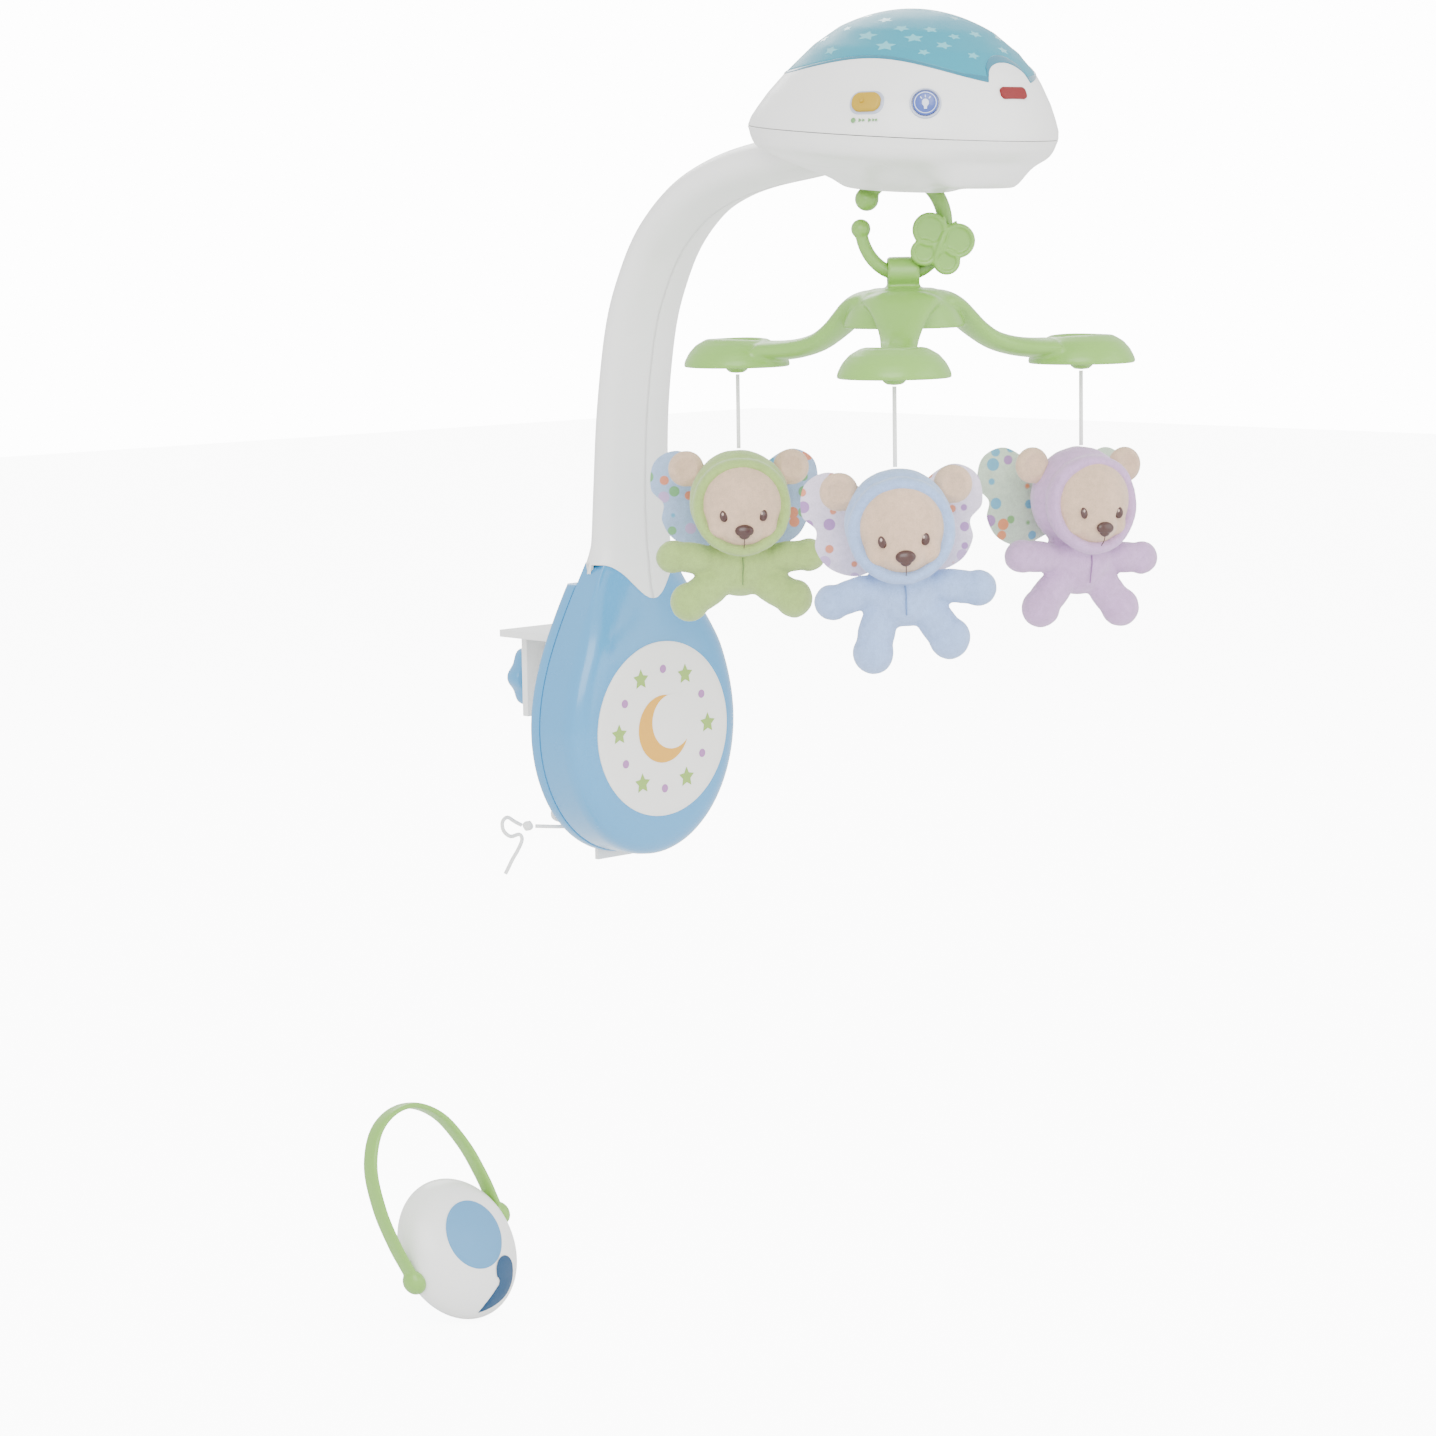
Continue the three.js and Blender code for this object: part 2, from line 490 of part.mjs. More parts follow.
function buildDrive() {
  const y = HEAD.y;
  const z = GEAR.z + 1;
  const plateZ = z + GEAR.thickness * 2 + 2;
  const reductionY = y - GEAR.output - GEAR.small - GAP;
  const motorX = GEAR.large + GEAR.pinion + GAP;
  const white = plastic(0xdedfdc, 0.5);

  const shaft = rod("z", HOOK.post, 354, z - GAP, [0, y, 0], 18);
  const arch = [-90, -50, -10, 30, 70, 110, 150].map((deg) => {
    const a = THREE.MathUtils.degToRad(deg);
    return [0, HOOK.bend * Math.cos(a), HOOK.ringZ + 0.4 + HOOK.bend * Math.sin(a)];
  });
  const hook = solid(geometryOf(tube(arch, HOOK.wire, 18, 8)).rotateZ(RING_YAW).translate(0, y, 0));
  add("output_hook", join(shaft, hook), plastic(0xe79a3c, 0.35));
  add("output_gear", gear(GEAR.output, z, z + GEAR.thickness, [0, y]), white);

  const large = gear(GEAR.large, z + GEAR.thickness + 1, z + 2 * GEAR.thickness, [0, reductionY]);
  const small = gear(GEAR.small, z, z + GEAR.thickness + 1, [0, reductionY]);
  add("reduction_gear", join(large, small), white);
  const pinion = gear(GEAR.pinion, z + GEAR.thickness, z + 2 * GEAR.thickness, [motorX, reductionY]);
  add("motor_pinion", pinion, metal(0xc9a14a));
  const plate = cut(
    box([-34, reductionY - 24, plateZ], [42, y + 30, plateZ + 2]),
    rod("z", 4, plateZ - 1, plateZ + 3, [motorX, reductionY, 0], 12),
  );
  add("gearbox_plate", plate, white);
  add("drive_motor", rod("z", 13, plateZ + 2 + GAP, plateZ + 26, [motorX, reductionY, 0], 20), STEEL);

  const lampZ = plateZ + 2 + GAP;
  const lamp = join(
    rod("z", 9, lampZ, lampZ + 3, [0, y, 0], 16),
    rod("z", 3.5, lampZ + 2, DRUM.z + 6, [0, y, 0], 12),
    ellipsoid([3.5, 3.5, 3.5], [0, y, DRUM.z + 6], 12),
  );
  add("star_lamp", lamp, plastic(0xf6f3e4, 0.2));

  const drumProfile = [[0, 32], [14, 31], [24, 26], [29, 16], [30, 0], [27.5, 0], [26.5, 15], [21.5, 24], [12, 28.6], [0, 29.5]];
  const drumGeometry = new THREE.LatheGeometry(drumProfile.map(([r, h]) => new THREE.Vector2(r, h)).reverse(), 20);
  drumGeometry.rotateX(Math.PI / 2);
  drumGeometry.translate(0, y, DRUM.z);
  const windows = [[15, 20], [75, 35], [130, 20], [190, 35], [250, 20], [310, 35]].map(([azimuth, elevation]) => {
    const star = solid(new THREE.CylinderGeometry(2.6, 2.6, 60, 5).rotateX(Math.PI / 2).translate(0, 0, 38));
    const a = THREE.MathUtils.degToRad(azimuth);
    const e = THREE.MathUtils.degToRad(elevation);
    const direction = [Math.cos(a) * Math.cos(e), Math.sin(a) * Math.cos(e), Math.sin(e)];
    return onWall(star, [0, y, DRUM.z + 2], direction);
  });
  add("star_drum", cut(solid(drumGeometry), ...windows), plastic(0x2c2f36, 0.5));

  add("speaker", rod("z", 22, plateZ + 8, plateZ + 18, [0, y + 66, 0], 24), DARK);
  add("circuit_board", inHead(box([-68, -40, 12], [-40, 40, 13.6])), plastic(0x2f7a4b, 0.5));
  let n = 0;
  for (const side of [-1, 1]) {
    for (const end of [-1, 1]) {
      n += 1;
      const centre = [side * CELL.x, 0, CELL.z];
      const from = end < 0 ? -CELL.length - 0.4 : 0.4;
      add(`battery_cell_${n}`, inHead(rod("y", CELL.radius, from, from + CELL.length, centre, 16)), metal(0x8d9198));
    }
  }
}

// Hanging ring, charm and hanger

/** A solid built in the ring's plane (X across, Z up), in its place. */
const inRingPlane = (body) => solid(geometryOf(body).rotateZ(RING_YAW).translate(0, HEAD.y, 0));

function buildRing() {
  const count = 22;
  const points = Array.from({ length: count }, (_, i) => {
    const a = THREE.MathUtils.degToRad(RING.startDeg + ((RING.endDeg - RING.startDeg) * i) / (count - 1));
    return [RING.halfWidth * Math.cos(a), 0, RING.z + RING.halfHeight * Math.sin(a)];
  });
  const ends = [points[0], points.at(-1)].map((p, i) => {
    const r = RING.ball + (i === 0 ? -1 : 0.5);
    return ellipsoid([r, r, r], p, 10);
  });
  add("hanging_ring", inRingPlane(join(tube(points, RING.tube, 30, 9), ...ends)), GREEN);

  const lobes = [[-11, 9, 10.5], [10, 8, 10.5], [-9, -6, 8], [9, -7, 8]].map(([x, z, r]) => rod("y", r, -4, 4, [x, 0, z], 16));
  const body = rod("z", 3.4, -15, 18, [0, 0, 0], 10);
  const charm = solid(
    geometryOf(join(body, ...lobes)).rotateY(THREE.MathUtils.degToRad(22)).translate(25, -11, 297),
  );
  add("butterfly_charm", inRingPlane(charm), GREEN);
}

function buildHanger() {
  const profile = [[0, 268], [24, 267.6], [32, 262], [40, 252], [44, 240], [41, 240], [36, 250], [28, 259], [20, 262.5], [0, 263]];
  const hub = new THREE.LatheGeometry(profile.map(([r, z]) => new THREE.Vector2(r, z)).reverse(), 24);
  hub.rotateX(Math.PI / 2);
  const arms = [0, 120, 240].map((turn) => {
    const outline = [
      [24, 266], [35, 267], [45, 258], [55, 248], [68, 238.5], [81, 232], [96, 228.5], [112, 229],
      [118, 218], [94, 219], [80, 221.5], [68, 225], [54, 231], [43, 238], [33, 249], [26, 258],
    ].map(([r, z]) => new THREE.Vector2(r, z));
    const arm = new THREE.ExtrudeGeometry(new THREE.Shape(outline), { depth: HANGER.armWidth, bevelEnabled: false });
    arm.rotateX(Math.PI / 2);
    arm.translate(0, HANGER.armWidth / 2, 0);
    const dish = ellipsoid([PETAL.halfLength, PETAL.halfWidth, PETAL.height], [HANGER.petalRadius, 0, HANGER.rimZ], 18);
    const underside = box([90, -60, 180], [200, 60, HANGER.rimZ]);
    const pocket = ellipsoid([20, 17, 11], [HANGER.petalRadius - 6, 0, 231], 12);
    const boss = rod("z", 7, STRING.topZ + GAP, HANGER.rimZ + 4, [HANGER.stringRadius, 0, 0], 10);
    const petal = join(cut(dish, underside, pocket), boss);
    const angle = THREE.MathUtils.degToRad(HANGER.frontDeg + turn);
    return solid(geometryOf(join(solid(arm), petal)).rotateZ(angle));
  });
  const lugZ = RING.z - RING.halfHeight;
  const lug = join(rod("x", 11.3, -11.5, 11.5, [0, 0, lugZ + 0.8], 20), box([-11.5, -9, 262], [11.5, 9, lugZ]));
  const bore = rod("x", 8.3, -40, 40, [0, 0, lugZ + 1.3], 18);
  const turnedLug = solid(geometryOf(lug).rotateZ(RING_YAW));
  const turnedBore = solid(geometryOf(bore).rotateZ(RING_YAW));
  const whole = join(solid(hub), ...arms, turnedLug).subtract(turnedBore);
  add("hanger", solid(geometryOf(whole).translate(0, HEAD.y, 0)), GREEN);
}

// Bears

const BEARS = [
  { name: "green", turn: 240, suit: 0xb9d38f },
  { name: "blue", turn: 0, suit: 0xa9bee6 },
  { name: "lilac", turn: 120, suit: 0xd3b7df },
];

/** A plush bear facing -Y, with the top of its hood at the origin. */
function bearForm() {
  return join(
    ellipsoid([37, 33, 36.5], [0, 0, -37], 14),
    ellipsoid([13, 8, 13], [-31, 4, -12], 8),
    ellipsoid([13, 8, 13], [31, 4, -12], 8),
    ellipsoid([31, 25, 33], [0, 2, -84], 12),
    ellipsoid([26, 14, 13.5], [-40, -2, -81], 10),
    ellipsoid([26, 14, 13.5], [40, -2, -81], 10),
    ellipsoid([17, 15, 24], [-34, -6, -115], 10),
    ellipsoid([17, 15, 24], [34, -6, -115], 10),
  );
}

/** The bear's sewn wings, behind its back. */
function wingForm() {
  const half = [[5, -34], [20, -12], [42, -3], [60, -12], [62, -32], [52, -43], [54, -56], [45, -70], [26, -75], [5, -66]];
  const points = [...half, ...half.map(([x, z]) => [-x, z]).reverse()].map(([x, z]) => new THREE.Vector2(x, z));
  const shape = new THREE.Shape();
  shape.moveTo(points[0].x, points[0].y);
  shape.splineThru([...points.slice(1), points[0]]);
  return platedAlongY(shape, 38.5, 34.5, 2);
}

function buildBears() {
  BEARS.forEach(({ name, turn, suit }, i) => {
    const angle = THREE.MathUtils.degToRad(HANGER.frontDeg + turn);
    const x = HANGER.stringRadius * Math.cos(angle);
    const y = HEAD.y + HANGER.stringRadius * Math.sin(angle);
    add(`string_${name}`, rod("z", STRING.radius, STRING.bottomZ, STRING.topZ - GAP, [x, y, 0], 8), fabric(0xf3f3f1));
    const yaw = THREE.MathUtils.degToRad(BEAR_YAW_DEG[i]);
    const place = (body) => solid(geometryOf(body).rotateZ(yaw).translate(x, y, STRING.bottomZ - GAP));
    add(`bear_${name}`, place(bearForm()), fabric(suit));
    add(`wings_${name}`, place(wingForm()), fabric(0xe8e6f2));
  });
}

// Remote

const remoteFrame = new THREE.Matrix4()
  .makeRotationFromEuler(new THREE.Euler(REMOTE.lean, REMOTE.roll, 0, "XYZ"))
  .setPosition(...REMOTE.at);
const inRemote = (body) => solid(geometryOf(body).applyMatrix4(remoteFrame));

function buildRemote() {
  const whole = ellipsoid(REMOTE.radii, [0, 0, 0], 20);
  const hollow = ellipsoid(REMOTE.radii.map((r) => r - WALL), [0, 0, 0], 18);
  const shell = whole.subtract(hollow);
  const far = 100;
  const front = box([-far, -far, -far], [far, REMOTE.seamY - GAP / 2, far]);
  const back = box([-far, REMOTE.seamY + GAP / 2, -far], [far, far, far]);
  const padHole = rod("y", REMOTE.padRadius + GAP, -60, -10, [0, 0, 2], 20);
  const windowHole = rod("y", 9 + GAP, -60, -6, [4, 0, -39], 16);
  const pivotHoles = rod("x", 3.4, -80, 80, [0, 0, 0], 12);
  add("remote_front_shell", inRemote(cut(shell.intersect(front), padHole, windowHole, pivotHoles)), WHITE);
  add("remote_back_shell", inRemote(shell.intersect(back)), BLUE);
  const pad = ellipsoid([46, 28, 50], [0, 0, 0], 20).intersect(rod("y", REMOTE.padRadius, -60, -18, [0, 0, 2], 20));
  add("remote_pad", inRemote(pad), plastic(0x9dbcdc, 0.4));
  const windowPane = whole.subtract(hollow).intersect(rod("y", 9, -60, -6, [4, 0, -39], 16));
  add("remote_signal_window", inRemote(windowPane), plastic(0x1779ab, 0.1));
  add("remote_board", inRemote(box([-26, -2, -30], [26, -0.4, 26])), plastic(0x2f7a4b, 0.5));
  [-8, 8].forEach((x, i) => {
    add(`remote_cell_${i + 1}`, inRemote(rod("z", 5.2, -22, 22.5, [x, 10, 0], 12)), metal(0x8d9198));
  });

  const arch = (side, top) => {
    const shape = [[side, 0], [side * 0.985, 30], [side * 0.93, 62], [side * 0.74, 92], [side * 0.38, 112], [0, top]];
    return [...shape, ...shape.slice(0, -1).map(([x, z]) => [-x, z]).reverse()].map(([x, z]) => new THREE.Vector2(x, z));
  };
  const strap = new THREE.Shape();
  const outerLine = new THREE.SplineCurve(arch(56, 119)).getPoints(16);
  const innerLine = new THREE.SplineCurve(arch(52, 114.5)).getPoints(16).reverse();
  strap.setFromPoints([...outerLine, ...innerLine]);
  const pivots = [-1, 1].map((side) =>
    join(
      ellipsoid([6.5, 8.8, 8.8], [side * 56, 0, 0], 12),
      rod("x", 2.8, Math.min(side * 44, side * 56), Math.max(side * 44, side * 56), [0, 0, 0], 12),
    ),
  );
  const handle = join(platedAlongY(strap, 5.5, -5.5, 4), ...pivots);
  add("remote_handle", inRemote(solid(geometryOf(handle).rotateX(REMOTE.handleForward))), GREEN);
}

buildBase();
buildArm();
buildClamp();
buildTieCord();
buildHeadShells();
buildLens();
buildControls();
buildDrive();
buildRing();
buildHanger();
buildBears();
buildRemote();

export default group;
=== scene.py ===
"""A cot mobile: clamped base, curved arm, projector head, hanging ring, plush bears and a remote."""

import logging
import math
from dataclasses import dataclass
from enum import Enum
from typing import Callable, Dict, List, Optional, Sequence, Tuple

import bmesh
import bpy
from mathutils import Euler, Matrix, Vector


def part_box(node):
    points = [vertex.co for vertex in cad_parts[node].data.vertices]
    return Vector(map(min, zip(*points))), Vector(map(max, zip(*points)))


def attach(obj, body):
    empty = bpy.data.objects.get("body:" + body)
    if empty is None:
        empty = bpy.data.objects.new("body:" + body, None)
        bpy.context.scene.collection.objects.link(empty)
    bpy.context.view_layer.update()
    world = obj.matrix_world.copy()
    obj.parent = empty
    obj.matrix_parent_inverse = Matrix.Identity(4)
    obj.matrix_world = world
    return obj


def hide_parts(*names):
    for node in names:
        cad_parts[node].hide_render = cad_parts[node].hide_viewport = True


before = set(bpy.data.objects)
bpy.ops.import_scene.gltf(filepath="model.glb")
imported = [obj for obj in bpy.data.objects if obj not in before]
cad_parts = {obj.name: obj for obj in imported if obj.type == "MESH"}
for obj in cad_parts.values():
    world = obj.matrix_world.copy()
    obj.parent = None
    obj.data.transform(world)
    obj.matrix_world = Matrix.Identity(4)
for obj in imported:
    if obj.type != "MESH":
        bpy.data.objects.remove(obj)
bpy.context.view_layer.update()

log = logging.getLogger("cot_mobile")
MM = 0.001
Point = Tuple[float, float, float]
Colour = Tuple[float, float, float]
Place = Callable[[float, float], Vector]


# --- Finishes -----------------------------------------------------------------------------------


class Graph:
    """A node tree with short calls for adding and joining nodes."""

    def __init__(self, tree: bpy.types.NodeTree) -> None:
        """Keeps the tree.

        Args:
            tree: the node tree that the calls work on.
        """
        self.tree = tree

    def add(self, kind: str, **settings: object) -> bpy.types.Node:
        """Adds a node and sets its properties.

        Args:
            kind: the node's type.
            settings: property values by name.

        Returns:
            The new node.
        """
        node = self.tree.nodes.new(kind)
        for name, value in settings.items():
            setattr(node, name, value)
        return node

    def join(self, source: bpy.types.NodeSocket, target: bpy.types.NodeSocket) -> None:
        """Links an output to an input."""
        self.tree.links.new(source, target)

    def noise(self, vector: bpy.types.NodeSocket, scale: object, detail: float = 3.0) -> bpy.types.NodeSocket:
        """Adds a noise texture.

        Args:
            vector: where the texture is read.
            scale: a number, or a socket that gives it.
            detail: how many finer layers it has.

        Returns:
            The grey value's socket.
        """
        node = self.add("ShaderNodeTexNoise")
        self.join(vector, node.inputs["Vector"])
        node.inputs["Detail"].default_value = detail
        if isinstance(scale, bpy.types.NodeSocket):
            self.join(scale, node.inputs["Scale"])
        else:
            node.inputs["Scale"].default_value = scale
        return node.outputs["Fac"]

    def spread(self, value: bpy.types.NodeSocket, low: object, high: object,
               span: Tuple[float, float] = (0.3, 0.7)
               ) -> bpy.types.NodeSocket:
        """Maps a grey value onto a range.

        Args:
            value: the grey value.
            low: the range's start, a number or a socket.
            high: the range's end, a number or a socket.
            span: the part of the grey value that is used.

        Returns:
            The mapped value's socket.
        """
        node = self.add("ShaderNodeMapRange")
        self.join(value, node.inputs["Value"])
        node.inputs["From Min"].default_value, node.inputs["From Max"].default_value = span
        for name, bound in (("To Min", low), ("To Max", high)):
            if isinstance(bound, bpy.types.NodeSocket):
                self.join(bound, node.inputs[name])
            else:
                node.inputs[name].default_value = bound
        return node.outputs["Result"]

    def tint(self, colour: bpy.types.NodeSocket, value: bpy.types.NodeSocket) -> bpy.types.NodeSocket:
        """Multiplies a colour by a grey value.

        Args:
            colour: the colour.
            value: the grey value, about 1.

        Returns:
            The new colour's socket.
        """
        node = self.add("ShaderNodeVectorMath", operation="SCALE")
        self.join(colour, node.inputs[0])
        self.join(value, node.inputs["Scale"])
        return node.outputs["Vector"]


def surface_group(name: str, inputs: Sequence[Tuple[str, float]]) -> Tuple[bpy.types.NodeTree, Graph]:
    """Starts a shared surface group with a colour, the named numbers, and its three outputs.

    Args:
        name: the group's name.
        inputs: the numbers' names and their values.

    Returns:
        The group and its graph.
    """
    tree = bpy.data.node_groups.new(name, "ShaderNodeTree")
    tree.interface.new_socket("Colour", in_out="INPUT", socket_type="NodeSocketColor")
    for label, value in inputs:
        socket = tree.interface.new_socket(label, in_out="INPUT", socket_type="NodeSocketFloat")
        socket.default_value = value
    tree.interface.new_socket("Colour", in_out="OUTPUT", socket_type="NodeSocketColor")
    tree.interface.new_socket("Roughness", in_out="OUTPUT", socket_type="NodeSocketFloat")
    tree.interface.new_socket("Height", in_out="OUTPUT", socket_type="NodeSocketFloat")
    return tree, Graph(tree)


def moulded_group() -> bpy.types.NodeTree:
    """Builds the moulded plastic surface: a fine texture, slow mottling and uneven gloss."""
    tree, g = surface_group("moulded_surface", (("Grain", 900.0), ("Mottle", 0.03), ("Gloss", 0.35)))
    given = g.add("NodeGroupInput")
    out = g.add("NodeGroupOutput")
    place = g.add("ShaderNodeTexCoord").outputs["Object"]
    slow = g.noise(place, 22.0, 2.0)
    darker = g.add("ShaderNodeMath", operation="SUBTRACT")
    darker.inputs[0].default_value = 1.0
    g.join(given.outputs["Mottle"], darker.inputs[1])
    g.join(g.tint(given.outputs["Colour"], g.spread(slow, darker.outputs[0], 1.0)), out.inputs["Colour"])
    rougher = g.add("ShaderNodeMath", operation="ADD")
    g.join(given.outputs["Gloss"], rougher.inputs[0])
    g.join(g.spread(g.noise(place, 60.0), -0.05, 0.06), rougher.inputs[1])
    g.join(rougher.outputs[0], out.inputs["Roughness"])
    g.join(g.noise(place, given.outputs["Grain"], 2.0), out.inputs["Height"])
    return tree


def pile_group() -> bpy.types.NodeTree:
    """Builds the short pile of plush cloth: fine fibres, tufts and slow shading."""
    tree, g = surface_group("short_pile", (("Fibre", 1500.0), ("Tuft", 260.0), ("Depth", 0.1)))
    given = g.add("NodeGroupInput")
    out = g.add("NodeGroupOutput")
    place = g.add("ShaderNodeTexCoord").outputs["Object"]
    fibre = g.noise(place, given.outputs["Fibre"], 4.0)
    tuft = g.noise(place, given.outputs["Tuft"], 3.0)
    darker = g.add("ShaderNodeMath", operation="SUBTRACT")
    darker.inputs[0].default_value = 1.0
    g.join(given.outputs["Depth"], darker.inputs[1])
    shade = g.tint(given.outputs["Colour"], g.spread(tuft, darker.outputs[0], 1.04))
    shade = g.tint(shade, g.spread(fibre, 0.86, 1.06))
    g.join(g.tint(shade, g.spread(g.noise(place, 45.0, 2.0), 0.94, 1.03)), out.inputs["Colour"])
    g.join(g.spread(tuft, 0.85, 1.0), out.inputs["Roughness"])
    both = g.add("ShaderNodeMath", operation="ADD")
    g.join(fibre, both.inputs[0])
    g.join(tuft, both.inputs[1])
    g.join(both.outputs[0], out.inputs["Height"])
    return tree


class Surface(Enum):
    """The shared surface groups."""

    MOULDED = "moulded_surface"
    PILE = "short_pile"


SURFACE_MAKERS: Dict[Surface, Callable[[], bpy.types.NodeTree]] = {
    Surface.MOULDED: moulded_group,
    Surface.PILE: pile_group,
}


@dataclass(frozen=True)
class Finish:
    """A finish: a colour on one of the shared surfaces, with its gloss and relief."""

    name: str
    colour: Colour
    slot: str
    surface: Surface = Surface.MOULDED
    values: Tuple[Tuple[str, float], ...] = ()
    relief: float = 0.05
    depth: float = 0.0002
    metallic: float = 0.0
    coat: float = 0.0
    sheen: float = 0.0

    def material(self) -> bpy.types.Material:
        """Makes the material, or gives the one already made."""
        title = f"{self.name}_finish"
        found = bpy.data.materials.get(title)
        if found:
            return found
        made = bpy.data.materials.new(title)
        made.use_nodes = True
        made.diffuse_color = (*self.colour, 1.0)
        self.wire(Graph(made.node_tree))
        return made

    def wire(self, g: Graph) -> None:
        """Wires the surface group into the shader.

        Args:
            g: the material's graph.
        """
        tree = bpy.data.node_groups.get(self.surface.value) or SURFACE_MAKERS[self.surface]()
        shader = g.tree.nodes["Principled BSDF"]
        group = g.add("ShaderNodeGroup", node_tree=tree)
        group.inputs["Colour"].default_value = (*self.colour, 1.0)
        for name, value in self.values:
            group.inputs[name].default_value = value
        self.paint(g, group, shader)
        g.join(group.outputs["Roughness"], shader.inputs["Roughness"])
        bump = g.add("ShaderNodeBump")
        bump.inputs["Strength"].default_value = self.relief
        bump.inputs["Distance"].default_value = self.depth
        g.join(group.outputs["Height"], bump.inputs["Height"])
        g.join(bump.outputs["Normal"], shader.inputs["Normal"])
        shader.inputs["Metallic"].default_value = self.metallic
        shader.inputs["Coat Weight"].default_value = self.coat
        shader.inputs["Coat Roughness"].default_value = 0.12
        shader.inputs["Sheen Weight"].default_value = self.sheen
        shader.inputs["Sheen Roughness"].default_value = 0.5

    def paint(self, g: Graph, group: bpy.types.Node, shader: bpy.types.Node) -> None:
        """Joins the group's colour to the shader."""
        g.join(group.outputs["Colour"], shader.inputs["Base Color"])


@dataclass(frozen=True)
class Print(Finish):
    """Cloth with a scattered print of coloured spots on its ground colour."""

    spots: Tuple[Colour, ...] = ()
    spot_scale: float = 70.0

    def paint(self, g: Graph, group: bpy.types.Node, shader: bpy.types.Node) -> None:
        """Mixes the spots into the ground colour and joins it to the shader.

        Args:
            g: the material's graph.
            group: the surface group's node.
            shader: the shader.
        """
        place = g.add("ShaderNodeTexCoord").outputs["Object"]
        cells = g.add("ShaderNodeTexVoronoi")
        cells.inputs["Scale"].default_value = self.spot_scale
        cells.inputs["Randomness"].default_value = 0.55
        g.join(place, cells.inputs["Vector"])
        split = g.add("ShaderNodeSeparateColor")
        g.join(cells.outputs["Color"], split.inputs[0])
        ramp = g.add("ShaderNodeValToRGB")
        ramp.color_ramp.interpolation = "CONSTANT"
        while len(ramp.color_ramp.elements) < len(self.spots):
            ramp.color_ramp.elements.new(0.5)
        for i, colour in enumerate(self.spots):
            ramp.color_ramp.elements[i].position = i / len(self.spots)
            ramp.color_ramp.elements[i].color = (*colour, 1.0)
        g.join(split.outputs[0], ramp.inputs["Fac"])
        inside = g.spread(cells.outputs["Distance"], 0.85, 0.0, (0.33, 0.37))
        mix = g.add("ShaderNodeMix", data_type="RGBA")
        g.join(inside, mix.inputs["Factor"])
        g.join(group.outputs["Colour"], mix.inputs["A"])
        g.join(ramp.outputs["Color"], mix.inputs["B"])
        g.join(mix.outputs["Result"], shader.inputs["Base Color"])


def moulded(name: str, colour: Colour, slot: str, gloss: float = 0.32, coat: float = 0.25,
            **more: float) -> Finish:
    """Gives a moulded plastic finish.

    Args:
        name: the material's name.
        colour: the base colour, linear.
        slot: a slot name, kept on the finish but not used.
        gloss: the roughness.
        coat: the clear coat's weight.
        more: other finish values.

    Returns:
        The finish.
    """
    return Finish(name, colour, slot, values=(("Gloss", gloss),), coat=coat, **more)


def plush(name: str, colour: Colour, slot: str, **more: float) -> Finish:
    """Gives a short pile finish.

    Args:
        name: the material's name.
        colour: the base colour, linear.
        slot: a slot name, kept on the finish but not used.
        more: other finish values.

    Returns:
        The finish.
    """
    return Finish(name, colour, slot, surface=Surface.PILE, relief=0.35, depth=0.0007, sheen=0.35, **more)


def metal(name: str, colour: Colour, slot: str, gloss: float = 0.35) -> Finish:
    """Gives a plain metal finish."""
    return Finish(name, colour, slot, values=(("Gloss", gloss), ("Mottle", 0.12)), metallic=1.0)


BASE_BLUE = moulded("base_blue", (0.05, 0.27, 0.53), "base_blue", 0.22, 0.35)
WHITE = moulded("white_plastic", (0.82, 0.82, 0.80), "white_plastic", 0.34, 0.2)
LENS = moulded("lens_blue", (0.004, 0.23, 0.32), "lens_blue", 0.42, 0.05)
LENS_STAR = moulded("lens_star", (0.09, 0.42, 0.48), "lens_blue", 0.2, 0.6)
RIM = moulded("rim_teal", (0.003, 0.15, 0.23), "rim_teal", 0.22, 0.5)
GREEN = moulded("green_plastic", (0.19, 0.40, 0.06), "green_plastic", 0.36, 0.15)
YELLOW = moulded("slider_yellow", (0.40, 0.25, 0.0), "slider_yellow", 0.5, 0.0)
BUTTON_BLUE = moulded("button_blue", (0.045, 0.09, 0.36), "button_blue", 0.3, 0.3)
BEZEL = moulded("bezel_pale", (0.40, 0.44, 0.56), "bezel_pale", 0.3, 0.4)
BADGE_RED = moulded("badge_red", (0.17, 0.0, 0.001), "badge_red", 0.6, 0.0)
ORANGE = moulded("hook_orange", (0.60, 0.13, 0.012), "hook_orange", 0.3, 0.3)
DARK = moulded("dark_plastic", (0.03, 0.03, 0.035), "dark_plastic", 0.5, 0.0)
GEAR_WHITE = moulded("gear_white", (0.62, 0.63, 0.58), "gear_white", 0.45, 0.0)
ICON_WHITE = moulded("icon_white", (0.60, 0.66, 0.80), "bezel_pale", 0.4, 0.0)
ICON_GREEN = moulded("icon_green", (0.13, 0.30, 0.10), "green_plastic", 0.4, 0.0)
PAD_BLUE = moulded("pad_blue", (0.075, 0.25, 0.46), "pad_blue", 0.5, 0.0)
WINDOW = moulded("window_blue", (0.0, 0.045, 0.12), "window_blue", 0.55, 0.0)
LABEL = moulded("label_print", (0.80, 0.79, 0.75), "label_print", 0.45, 0.1)
LABEL_GREEN = moulded("label_green", (0.24, 0.40, 0.07), "label_print", 0.45, 0.1)
LABEL_LILAC = moulded("label_lilac", (0.36, 0.15, 0.38), "label_print", 0.45, 0.1)
LABEL_YELLOW = moulded("label_yellow", (0.66, 0.33, 0.02), "label_print", 0.45, 0.1)
CORD = plush("cord_white", (0.88, 0.88, 0.86), "cord_white", values=(("Fibre", 2600.0), ("Tuft", 900.0)))
FACE = plush("plush_beige", (0.60, 0.42, 0.29), "plush_green", values=(("Depth", 0.1),))
THREAD = moulded("thread_brown", (0.045, 0.012, 0.008), "plush_green", 0.35, 0.2)
GLINT = moulded("eye_glint", (0.45, 0.33, 0.28), "plush_green", 0.3, 0.2)
